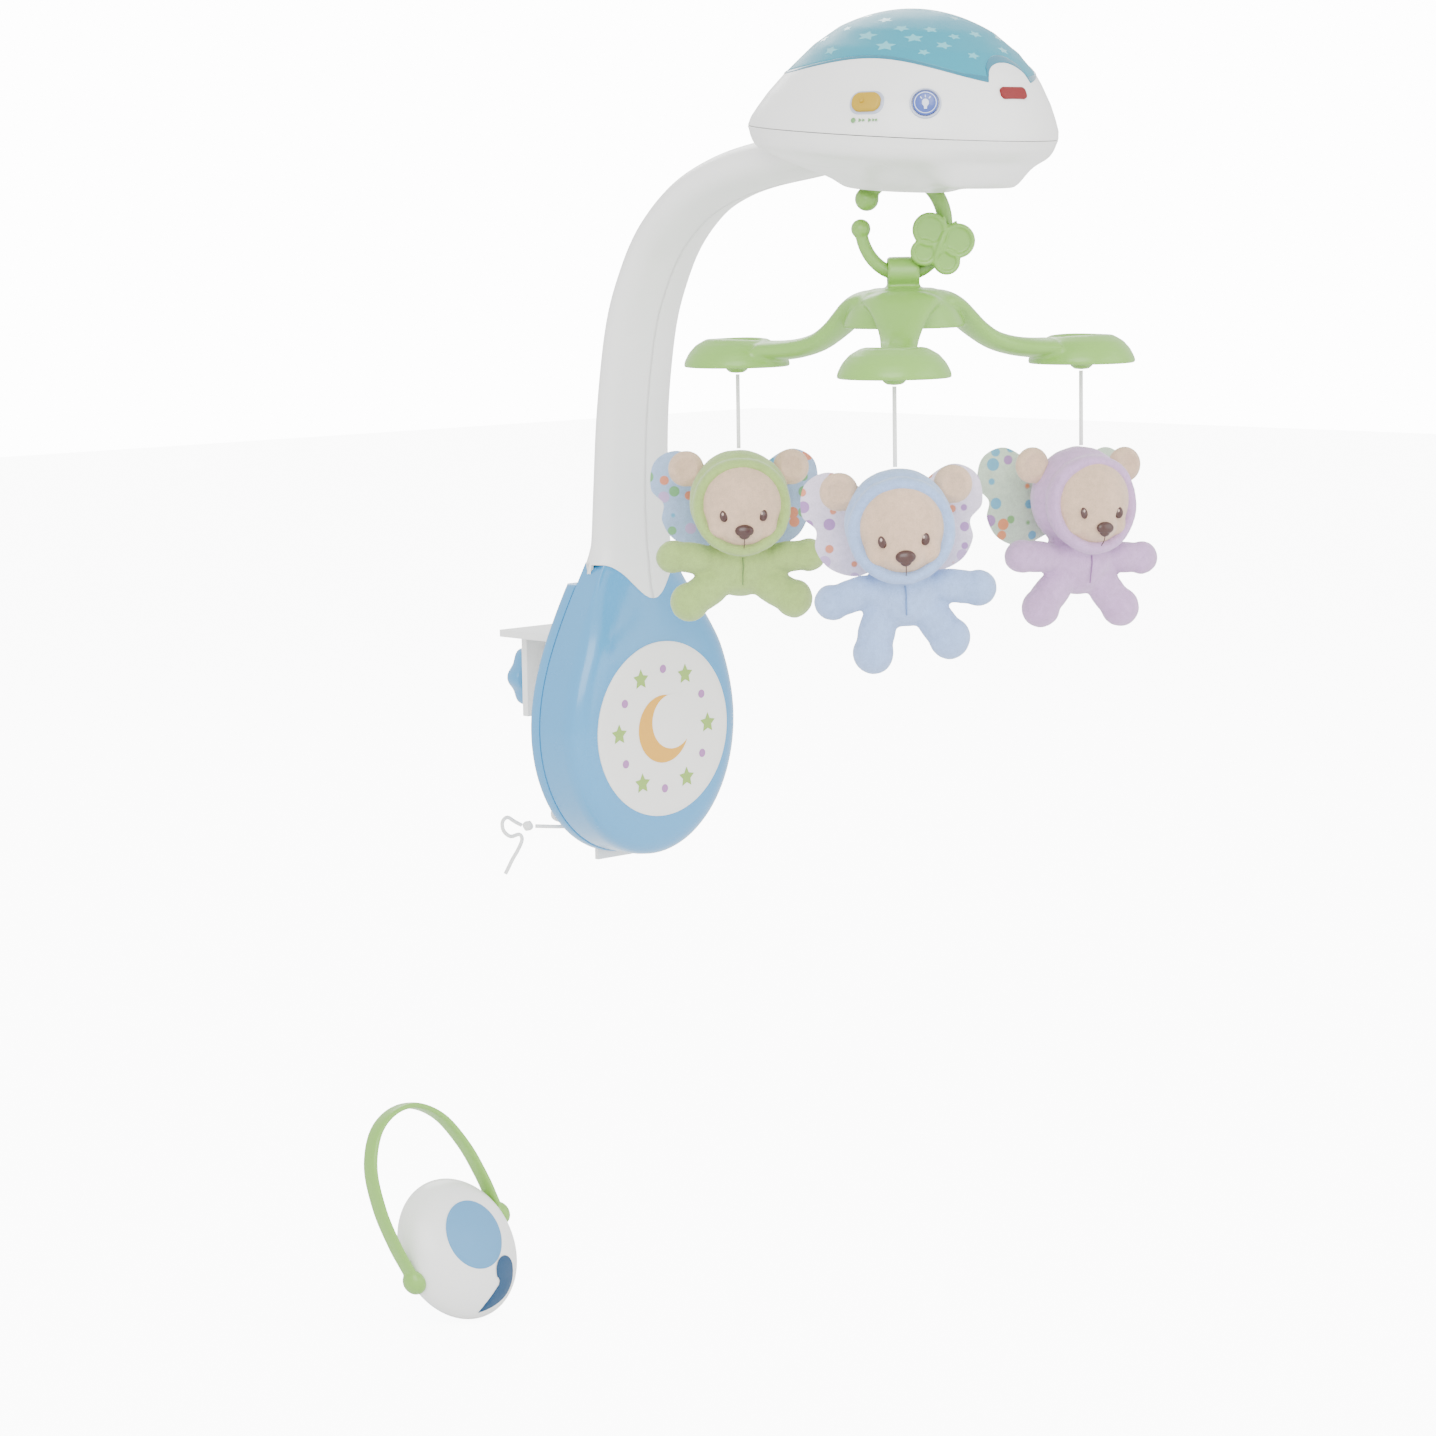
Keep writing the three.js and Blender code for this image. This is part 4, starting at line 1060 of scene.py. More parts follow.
@dataclass
class Arm:
    """The curved oval arm in two halves, with a flared tongue that lies on the base's cover."""

    base: Base
    stations: Tuple[Tuple[float, float, float, float, float], ...] = (
        (-47, 60, 41.0, 21.3, 23.0),
        (-47.2, 68, 38.4, 20.0, 20.5),
        (-47.6, 78, 37.0, 18.6, 19.0),
        (-48.5, 115, 35.5, 16.8, 17.2),
        (-52.4, 176, 33.8, 16.8, 16.8),
        (-63, 237, 33, 17, 17),
        (-78, 275, 32.5, 17, 17),
        (-98, 306, 32, 17.2, 17.2),
        (-128, 332, 31, 17.4, 17.4),
        (-161, 347, 29.5, 17.4, 17.4),
        (-198, 356, 27.5, 17, 17),
        (-246, 362, 25, 16, 16),
        (-262, 364, 23.5, 15.5, 15.5),
        (-284, 366, 21, 15, 15),
    )
    sides: int = 64
    seam: float = 0.25

    def tongue_edge(self, x: float) -> float:
        """Gives the height of the tongue's S-shaped lower edge.

        Args:
            x: the place across.

        Returns:
            The height.
        """
        share = min(abs(x) / 38.0, 1.0)
        return 32.0 + 27.0 * (1.0 - math.cos(math.pi * share)) / 2

    def tongue_rings(self) -> List[List[Vector]]:
        """Gives the rings of the tongue, from its edge on the cover up to the arm's first station."""
        y, z, half_width, half_front, half_back = self.stations[0]
        rings = []
        for step in range(9):
            share = step / 8
            ring = []
            for i in range(self.sides):
                a = 2 * math.pi * i / self.sides
                x = half_width * math.cos(a)
                side = math.sin(a)
                if side <= 0:
                    ring.append(Vector((x, y - half_back * side, z - 15.5 * (1 - share))))
                    continue
                low = self.tongue_edge(x)
                height = low + (z - low) * share
                own = y - half_front * side
                cover = self.base.front(x, height, 26.0) - 0.5
                depth = own if share == 1.0 else min(cover, own)
                ring.append(Vector((x, depth, height)))
            rings.append(ring)
        inner = [Vector((p.x * 0.97, min(p.y + 3.0, y + half_back), p.z)) for p in rings[0]]
        return [inner] + rings

    def tube_rings(self) -> List[List[Vector]]:
        """Gives the rings of the arm above the tongue."""
        rows = through(self.stations, 78)
        rings = []
        for k, (y, z, half_width, half_front, half_back) in enumerate(rows):
            before = rows[max(0, k - 1)]
            after = rows[min(len(rows) - 1, k + 1)]
            along = Vector((after[0] - before[0], after[1] - before[1])).normalized()
            across = Vector((-along.y, along.x))
            if k == 0:
                across = Vector((-1.0, 0.0))
            ring = []
            for i in range(self.sides):
                a = 2 * math.pi * i / self.sides
                side = math.sin(a)
                reach = (half_front if side > 0 else half_back) * side
                ring.append(Vector((half_width * math.cos(a), y + across.x * reach, z + across.y * reach)))
            rings.append(ring)
        return rings

    def half(self, name: str, side: int, node: str) -> None:
        """Builds one half of the arm.

        Args:
            name: the piece's name.
            side: -1 for the left, 1 for the right.
            node: the CAD node that it replaces.
        """
        bm = bmesh.new()
        rings = self.tongue_rings()[:-1] + self.tube_rings()
        skinned(bm, rings, (False, True))
        geometry = list(bm.verts) + list(bm.edges) + list(bm.faces)
        bmesh.ops.bisect_plane(bm, geom=geometry, plane_co=(side * self.seam, 0, 0), plane_no=(-side, 0, 0),
                               clear_outer=True)
        item = mesh_piece(name, bm, WHITE, 60.0)
        wall = item.modifiers.new("wall", "SOLIDIFY")
        wall.thickness = 2.4 * MM
        wall.offset = -1.0
        applied(item)
        dress(item, WHITE, "base", [node])

    def build(self) -> None:
        """Builds the arm."""
        self.half("arm_left", -1, "arm_left_half")
        self.half("arm_right", 1, "arm_right_half")


# --- Head ---------------------------------------------------------------------------------------


@dataclass
class Head:
    """The projector head: two shells, the domed lens with stars and the rim."""

    y: float = -336.0
    z: float = 376.3
    tilt: float = 4.6
    length_ratio: float = 1.14
    nose_shift: float = 9.0
    seam: float = 0.4
    top: float = 85.5
    widths: Tuple[Tuple[float, float], ...] = (
        (0.0, 101.0), (6.0, 100.0), (14.0, 96.5), (24.0, 91.5), (37.5, 83.0), (45.0, 77.5), (58.0, 66.0),
        (71.0, 50.0), (78.5, 38.0), (83.0, 24.0), (85.1, 10.0), (85.5, 0.0),
    )

    def width(self, height: float) -> float:
        """Gives the half width of the upper form at a height over the seam."""
        rows = self.widths
        for (z0, a0), (z1, a1) in zip(rows, rows[1:]):
            if height <= z1:
                if z0 >= 71.0:
                    top_share = max(0.0, self.top - height) / (self.top - 71.0)
                    return 50.0 * math.sqrt(top_share)
                return a0 + (a1 - a0) * (height - z0) / (z1 - z0)
        return 0.0

    def at(self, angle: float, height: float, out: float = 0.0) -> Vector:
        """Gives a point on the upper form.

        Args:
            angle: the angle from the tail towards the left side, in degrees.
            height: the height over the seam.
            out: how far it stands proud.

        Returns:
            The point in the head's own frame.
        """
        a = math.radians(angle)
        r = self.width(height) + out
        share = min(max(height / 45.0, 0.0), 1.0)
        return Vector((-r * math.sin(a), self.length_ratio * r * math.cos(a) - self.nose_shift * share,
                       height))

    def placed(self, p: Vector) -> Vector:
        """Moves a point from the head's own tilted frame to the row's frame."""
        return Matrix.Translation((0, self.y, self.z)) @ Matrix.Rotation(math.radians(self.tilt), 4, "X") @ p

    def edge(self, angle: float) -> float:
        """Gives the height of the lens's lower edge: low at the tail, high at the sides, arched at the nose.

        Args:
            angle: the angle from the tail, in degrees.

        Returns:
            The height over the seam.
        """
        turn = abs((angle + 180.0) % 360.0 - 180.0)
        wave = math.cos(math.radians(min(abs(turn - 111.0) * 90.0 / 70.0, 90.0))) ** 2
        nose = 180.0 - turn
        arch = 15.0 * math.sqrt(max(0.0, 1.0 - (nose / 15.0) ** 2)) if nose < 15.0 else 0.0
        return 37.0 + 14.5 * wave + arch

    def rim_height(self, angle: float) -> float:
        """Gives the rim's height: narrow along the sides, broad round the nose's arch."""
        nose = abs(180.0 - abs((angle + 180.0) % 360.0 - 180.0))
        return 2.0 + 3.0 * max(0.0, 1.0 - nose / 26.0) ** 0.5

    def band(self, low: Callable[[float], float], high: Callable[[float], float], rows: int, out: float,
             sides: int
             ) -> bmesh.types.BMesh:
        """Builds a band of the upper form between two heights.

        Args:
            low: its lower height at each angle.
            high: its upper height at each angle.
            rows: how many rows of faces it has.
            out: how far it stands proud.
            sides: how many faces it has round.

        Returns:
            The mesh.
        """
        rings = []
        for k in range(rows + 1):
            t = k / rows
            ring = []
            for i in range(sides):
                angle = 360.0 * i / sides
                ease = t if rows < 8 else 1.0 - (1.0 - t) ** 1.6
                ring.append(self.placed(self.at(angle, low(angle) + (high(angle) - low(angle)) * ease, out)))
            rings.append(ring)
        bm = bmesh.new()
        skinned(bm, rings, (False, False))
        return bm

    def walled(self, name: str, bm: bmesh.types.BMesh, finish: Finish, wall: float, bevel: float = 0.0
               ) -> bpy.types.Object:
        """Gives an open form a wall and rounds its edges.

        Args:
            name: the piece's name.
            bm: the open form.
            finish: its finish.
            wall: the wall's thickness, inwards.
            bevel: the radius of its edges.

        Returns:
            The piece.
        """
        item = mesh_piece(name, bm, finish, 60.0)
        solid = item.modifiers.new("wall", "SOLIDIFY")
        solid.thickness = wall * MM
        solid.offset = -1.0
        if bevel:
            round_off = item.modifiers.new("round", "BEVEL")
            round_off.width = bevel * MM
            round_off.segments = 2
            round_off.limit_method = "ANGLE"
            round_off.angle_limit = math.radians(50)
        return applied(item)

    def upper(self) -> None:
        """Builds the upper shell, the rim and the lens."""
        shell = self.band(lambda a: self.seam, lambda a: self.edge(a), 26, 0.0, 240)
        dress(self.walled("head_upper", shell, WHITE, 2.6, 0.5), WHITE, "head", ["head_upper_shell"])
        rim = self.band(lambda a: self.edge(a) + 0.1, lambda a: self.edge(a) + self.rim_height(a), 3, 0.5,
                        240)
        dress(self.walled("lens_band", rim, RIM, 2.4, 0.5), RIM, "head", ["lens_rim"])
        lens = self.band(lambda a: self.edge(a) + 1.2, lambda a: self.top - 0.02, 30, 0.0, 240)
        dress(self.walled("lens", lens, LENS, 2.0), LENS, "head", ["projector_lens"])

    def stars(self) -> None:
        """Builds the pale stars on the lens."""
        bm = bmesh.new()
        spread = (
            (30, 50, 5), (55, 62, 5.5), (78, 55, 6), (70, 70, 4.5), (96, 66, 7.5), (98, 77, 5.5),
            (112, 60, 7),
            (118, 72, 5.5), (128, 66, 6.5), (134, 57, 4), (140, 72, 5), (146, 62, 5.5), (156, 68, 4.5),
            (162, 56, 4.5),
            (176, 70, 5.5), (190, 60, 5), (205, 68, 6), (220, 58, 6), (240, 66, 6.5), (255, 74, 5),
            (268, 60, 6),
            (285, 68, 6), (300, 56, 5.5), (318, 66, 5), (340, 60, 6), (0, 72, 5), (60, 79, 4.5),
            (180, 80, 4.5),
        )
        for number, (angle, height, size) in enumerate(spread):
            r = self.width(height)
            slope = 30.0 + 45.0 * height / self.top

            def place(u: float, v: float, angle: float = angle, height: float = height, r: float = r,
                      slope: float = slope) -> Vector:
                """Gives the place on the dome for two numbers from the star's middle."""
                rise = v * math.cos(math.radians(slope))
                return self.placed(self.at(angle + math.degrees(u / max(r, 1.0)),
                                           min(height + rise, self.top), 0.25))

            patch(bm, star(size, (0.0, 0.0), 37.0 * number), place, 2, 0.3)
        dress(mesh_piece("lens_stars", bm, LENS_STAR, 30.0), LENS_STAR, "head")

    def lower(self) -> None:
        """Builds the lower shell: a bowl with a round well for the ring and a flat foot under the nose."""
        bowl = ((32.5, -19.0), (32.5, -38.2), (33.6, -39.6), (36.0, -39.7), (40.0, -38.4), (48.0, -33.6),
                (59.0, -29.2),
                (70.0, -25.2), (82.0, -20.6), (91.0, -16.4), (96.0, -12.6), (98.6, -8.0), (100.0, -3.4),
                (101.0, -self.seam))
        foot = ((32.5, -19.0), (32.5, -38.2), (33.6, -39.6), (36.0, -39.7), (40.0, -38.2), (48.0, -36.4),
                (59.0, -35.0),
                (70.0, -34.0), (78.0, -32.4), (85.0, -22.0), (88.0, -16.4), (93.0, -11.6), (97.6, -7.0),
                (99.6, -3.2), (101.0, -self.seam))
        rings = []
        sides = 192
        for (a0, z0), (a1, z1) in zip(through(bowl, 56), through(foot, 56)):
            ring = []
            for i in range(sides):
                angle = 2 * math.pi * i / sides
                nose = math.degrees(abs(math.pi - angle))
                share = min(max((44.0 - nose) / 22.0, 0.0), 1.0)
                share = share * share * (3 - 2 * share)
                r, z = a0 + (a1 - a0) * share, z0 + (z1 - z0) * share
                stretch = 1.0 + (self.length_ratio - 1.0) * min(max((r - 36.0) / 30.0, 0.0), 1.0)
                ring.append(self.placed(Vector((-r * math.sin(angle), r * stretch * math.cos(angle), z))))
            rings.append(ring)
        bm = bmesh.new()
        skinned(bm, rings, (True, False))
        dress(self.walled("head_lower", bm, WHITE, 1.2, 0.3), WHITE, "head",
              ["head_lower_shell", "ring_well"])

    def build(self) -> None:
        """Builds the head."""
        self.upper()
        self.stars()
        self.lower()


@dataclass
class Controls:
    """The head's slider, button and badge."""

    slider_at: Point = (-84.6, -383.7, 394.4)
    slider_normal: Point = (-0.857, -0.357, 0.372)
    button_at: Point = (-63.3, -417.7, 393.1)
    button_normal: Point = (-0.685, -0.656, 0.317)
    badge_at: Point = (-3.2, -443.0, 399.8)
    badge_normal: Point = (-0.038, -0.921, 0.387)
    button_radius: float = 8.7

    def rounded_block(self, bm: bmesh.types.BMesh, size: Point, corner: float, soft: float,
                      matrix: Matrix) -> None:
        """Adds a block with round corners and soft edges.

        Args:
            bm: the mesh that it joins.
            size: its width, height and depth.
            corner: the radius of its corners.
            soft: the radius of its front edge.
            matrix: its place.
        """
        before = set(bm.verts)
        bmesh.ops.create_cube(bm, size=1.0, matrix=Matrix.Diagonal((*size, 1.0)))
        new = [v for v in bm.verts if v not in before]
        upright = [e for e in {e for v in new for e in v.link_edges}
                   if abs(e.verts[0].co.z - e.verts[1].co.z) > 0.1]
        bmesh.ops.bevel(bm, geom=upright, offset=corner, segments=8, profile=0.5, affect="EDGES", material=-1)
        new = [v for v in bm.verts if v not in before]
        front = [e for e in {e for v in new for e in v.link_edges}
                 if min(e.verts[0].co.z, e.verts[1].co.z) > size[2] / 2 - 0.01]
        bmesh.ops.bevel(bm, geom=front, offset=soft, segments=4, profile=0.5, affect="EDGES", material=-1)
        bmesh.ops.transform(bm, matrix=matrix, verts=[v for v in bm.verts if v not in before])

    def slider(self) -> None:
        """Builds the slider's recess, its knob and the small marks under it."""
        place = wall_frame(self.slider_at, self.slider_normal)
        bm = bmesh.new()
        self.rounded_block(bm, (24.5, 17.0, 2.0), 7.5, 0.6, place @ Matrix.Translation((0, 0, -0.1)))
        dress(mesh_piece("slider_recess", bm, BEZEL, 35.0), BEZEL, "head")
        bm = bmesh.new()
        self.rounded_block(bm, (20.5, 13.6, 5.0), 6.0, 1.8, place @ Matrix.Translation((0, 0, 1.4)))
        ball(bm, tuple(place @ Vector((-2.5, 0, 3.9))), (1.6, 1.6, 1.6), sides=12)
        dress(mesh_piece("slider_knob", bm, YELLOW, 35.0), YELLOW, "slider", ["slider_switch"])
        bm = bmesh.new()
        for u, shape in ((-8.0, disc(1.7, count=16)), (-3.4, disc(1.5, count=3)), (-0.8, disc(1.2, count=3)),
                         (3.6, disc(1.5, count=3)), (6.4, disc(1.2, count=3)), (8.6, disc(0.9, count=4))):
            patch(bm, [(x + u, y - 12.5) for x, y in shape], lambda a, b: place @ Vector((a, b, 0.9)), 1, 0.4)
        dress(mesh_piece("slider_marks", bm, ICON_GREEN), ICON_GREEN, "head")

    def button(self) -> None:
        """Builds the button with its ring, its pressed dish and a plain lamp mark."""
        place = wall_frame(self.button_at, self.button_normal)
        r = self.button_radius
        bm = bmesh.new()
        new = lathe(bm,
                    ((r + 0.4, -4.0), (r + 0.4, 1.0), (r + 0.9, 1.6), (r + 1.7, 1.5), (r + 2.1, 0.8),
                     (r + 2.1, -4.0)), 64)
        bmesh.ops.transform(bm, matrix=place, verts=new)
        dress(mesh_piece("button_ring", bm, BEZEL, 50.0), BEZEL, "head", ["button_bezel"])
        bm = bmesh.new()
        new = lathe(bm,
                    ((0.0, 1.5), (r - 2.0, 1.7), (r - 1.0, 2.3), (r - 0.2, 1.9), (r, 1.0), (r, -4.0),
                     (0.0, -4.0)), 64)
        bmesh.ops.transform(bm, matrix=place, verts=new)
        dress(mesh_piece("button_cap", bm, BUTTON_BLUE, 50.0), BUTTON_BLUE, "button", ["light_button"])
        bm = bmesh.new()
        skinned(bm, [[place @ Vector((x * share, y * share, height)) for x, y in disc(r - 1.1, count=48)]
                     for share, height in ((1.0, 2.45), (0.93, 2.3))], (False, False))

        def front(u: float, v: float) -> Vector:
            """Gives the point on the cap's dish for two numbers from its middle."""
            return place @ Vector((u, v, 1.95))

        patch(bm, disc(2.3, (0, 0.2), 1.15), front, 1, 0.2)
        patch(bm, [(-1.1, -1.8), (1.1, -1.8), (1.0, -4.4), (-1.0, -4.4)], front, 1, 0.2)
        for turn in (-38, 0, 38):
            c, s = math.sin(math.radians(turn)), math.cos(math.radians(turn))
            bar = [(4.0 * c - 0.3 * s, 4.0 * s + 0.3 * c), (4.0 * c + 0.3 * s, 4.0 * s - 0.3 * c),
                   (5.6 * c + 0.3 * s, 5.6 * s - 0.3 * c), (5.6 * c - 0.3 * s, 5.6 * s + 0.3 * c)]
            patch(bm, bar, front, 1, 0.2)
        dress(mesh_piece("button_mark", bm, ICON_WHITE), ICON_WHITE, "button")

    def badge(self) -> None:
        """Builds the plain red badge."""
        place = wall_frame(self.badge_at, self.badge_normal)
        bm = bmesh.new()
        self.rounded_block(bm, (24.0, 8.6, 2.4), 3.2, 0.7, place @ Matrix.Translation((0, 0, 0.2)))
        dress(mesh_piece("badge_plate", bm, BADGE_RED, 35.0), BADGE_RED, "head", ["front_badge"])

    def build(self) -> None:
        """Builds the controls."""
        self.slider()
        self.button()
        self.badge()


# --- Ring, charm and hanger ---------------------------------------------------------------------


@dataclass
class Hanging:
    """The open ring with its butterfly charm, and the three-arm hanger."""

    y: float = -336.0
    yaw: float = -43.8
    ring_z: float = 312.0
    half_width: float = 29.6
    half_height: float = 34.5
    tube: float = 5.6
    petal_radius: float = 145.0
    rim_z: float = 211.0
    front_angle: float = -139.2

    def ring_place(self) -> Matrix:
        """Gives the frame of the ring's plane."""
        return Matrix.Translation((0, self.y, 0)) @ Matrix.Rotation(math.radians(self.yaw), 4, "Z")

    def ring(self) -> None:
        """Builds the ring: a tapering open hoop with a ball at each end."""
        place = self.ring_place()
        points = []
        shares = []
        steps = 40
        for i in range(steps + 1):
            a = math.radians(184.0 + 324.0 * i / steps)
            at = Vector((self.half_width * math.cos(a), 0, self.ring_z + self.half_height * math.sin(a)))
            points.append(tuple(place @ at))
            shares.append(0.82 + 0.18 * min(1.0, i / (steps * 0.6)))
        hoop = meshed(line_piece("hoop", points, self.tube, GREEN, shares))
        bm = bmesh.new()
        bm.from_mesh(hoop.data)
        bpy.data.objects.remove(hoop)
        bmesh.ops.scale(bm, vec=(1 / MM,) * 3, verts=bm.verts)
        ball(bm, points[0], (7.0, 7.0, 7.0))
        ball(bm, points[-1], (8.5, 8.5, 8.5))
        item = fused(mesh_piece("ring_hoop", bm, GREEN), 0.8, 5)
        dress(item, GREEN, "ring", ["hanging_ring"])

    def charm(self) -> None:
        """Builds the butterfly charm: four flat lobes, a body and feelers."""
        place = (self.ring_place() @ Matrix.Translation((25, -11, 297))
                 @ Matrix.Rotation(math.radians(22), 4, "Y"))
        bm = bmesh.new()
        for x, z, r in ((-10.5, 8, 12.2), (10.5, 8, 12.2), (-8.5, -8, 9.6), (8.5, -8, 9.6)):
            before = set(bm.verts)
            lathe(bm,
                  ((0, 2.6), (r - 3.6, 2.6), (r - 3.0, 3.6), (r - 1.2, 3.9), (r, 2.6), (r, -2.6),
                   (r - 1.2, -3.9),
                       (0, -3.9)), 40)
            new = [v for v in bm.verts if v not in before]
            bmesh.ops.rotate(bm, cent=(0, 0, 0), matrix=Matrix.Rotation(math.radians(90), 3, "X"), verts=new)
            bmesh.ops.translate(bm, vec=(x, 0, z), verts=new)
        ball(bm, (0, -1.2, 1), (3.0, 4.2, 15.5))
        for side in (-1, 1):
            ball(bm, (side * 3.2, -1.0, 17.5), (1.2, 1.2, 4.0), (0, side * 30, 0), 12)
        bmesh.ops.transform(bm, matrix=place, verts=bm.verts)
        item = fused(mesh_piece("charm", bm, GREEN), 0.6, 2)
        dress(item, GREEN, "ring", ["butterfly_charm"])

    def arm_rings(self) -> List[List[Vector]]:
        """Gives the rings of one hanger arm along X: broad at the hub, narrow and flat at the petal."""
        rows = through(((12, 256, 30, 9), (26, 258.5, 27.5, 8.5), (37, 254.5, 23, 8), (47, 247, 18.5, 7.6),
                        (58, 238, 14.8, 7.2), (71, 230, 13, 7), (86, 225.5, 13.5, 7), (101, 223.5, 17, 7.2),
                        (116, 223, 22, 7.4)), 30)
        rings = []
        for k, (x, z, half_width, half_depth) in enumerate(rows):
            before, after = rows[max(0, k - 1)], rows[min(len(rows) - 1, k + 1)]
            along = Vector((after[0] - before[0], after[1] - before[1])).normalized()
            ring = []
            for i in range(32):
                a = 2 * math.pi * i / 32
                up = half_depth * math.sin(a)
                ring.append(Vector((x - along.y * up, half_width * math.cos(a), z + along.x * up)))
            rings.append(ring)
        return rings

    def petal(self, bm: bmesh.types.BMesh) -> None:
        """Adds one petal along X: an inverted bowl with a rolled lip and a boss underneath."""
        profile = ((0, 22.0), (13, 21.6), (23, 19.4), (30, 15.4), (35, 9.8), (38, 4.0), (38.8, 1.0),
                   (38.2, -0.6),
                   (36.5, -1.0), (34.5, 0.0), (31, 4.0), (24, 7.4), (14, 9.0), (11, 8.0), (9.5, 0.5),
                   (8, -2.4),
                   (5.6, -4.6), (0, -5.3))
        new = lathe(bm, profile, 56)
        bmesh.ops.translate(bm, vec=(self.petal_radius - 1.0, 0, self.rim_z + 0.6), verts=new)

    def dish(self, bm: bmesh.types.BMesh) -> None:
        """Adds the form that is cut out of a petal's top."""
        ball(bm, (self.petal_radius - 3, 0, 236.5), (25, 19, 11.0), (0, 0, 0), 40)

    def hanger(self) -> None:
        """Builds the hanger: a domed hub with a skirt, three swept arms, petals and the ring's lug."""
        bm = bmesh.new()
        lathe(bm,
              ((0, 268.3), (20, 268.1), (27, 266.2), (33, 261), (38.5, 253), (42, 245), (43, 241),
               (42, 239.8),
                   (40, 240.5), (36.5, 246), (31.5, 253), (26, 258.5), (18, 262), (0, 263)), 72)
        cut = bmesh.new()
        for turn in (0, 120, 240):
            spin = Matrix.Rotation(math.radians(self.front_angle + turn), 4, "Z")
            before = set(bm.verts)
            skinned(bm, self.arm_rings())
            self.petal(bm)
            bmesh.ops.transform(bm, matrix=spin, verts=[v for v in bm.verts if v not in before])
            before = set(cut.verts)
            self.dish(cut)
            bmesh.ops.transform(cut, matrix=spin, verts=[v for v in cut.verts if v not in before])
        lug = set(bm.verts)
        bottom = self.ring_z - self.half_height
        barrel = lathe(bm,
                       ((8.4, -11.5), (10.4, -11.5), (11.4, -10.4), (11.4, 10.4), (10.4, 11.5), (8.4, 11.5),
                        (8.4, -11.5)),
                       48)
        bmesh.ops.rotate(bm, cent=(0, 0, 0), matrix=Matrix.Rotation(math.radians(90), 3, "Y"), verts=barrel)
        bmesh.ops.translate(bm, vec=(0, 0, bottom + 1.1), verts=barrel)
        ball(bm, (0, 0, 264.5), (14.5, 12.5, 5.2))
        turned = Matrix.Rotation(math.radians(self.yaw), 4, "Z")
        bmesh.ops.transform(bm, matrix=turned, verts=[v for v in bm.verts if v not in lug])
        for mesh in (bm, cut):
            bmesh.ops.translate(mesh, vec=(0, self.y, 0), verts=mesh.verts)
        item = mesh_piece("hanger_arms", bm, GREEN)
        tool = mesh_piece("hanger_cutter", cut, GREEN)
        skin = item.modifiers.new("skin", "REMESH")
        skin.mode = "VOXEL"
        skin.voxel_size = 1.15 * MM
        hollow = item.modifiers.new("hollow", "BOOLEAN")
        hollow.operation = "DIFFERENCE"
        hollow.object = tool
        applied(item)
        bpy.data.objects.remove(tool)
        fused(item, 1.15, 6)
        dress(item, GREEN, "hanger", ["hanger"])

    def build(self) -> None:
        """Builds the ring, the charm and the hanger."""
        self.ring()
        self.charm()
        self.hanger()


# --- Bears --------------------------------------------------------------------------------------


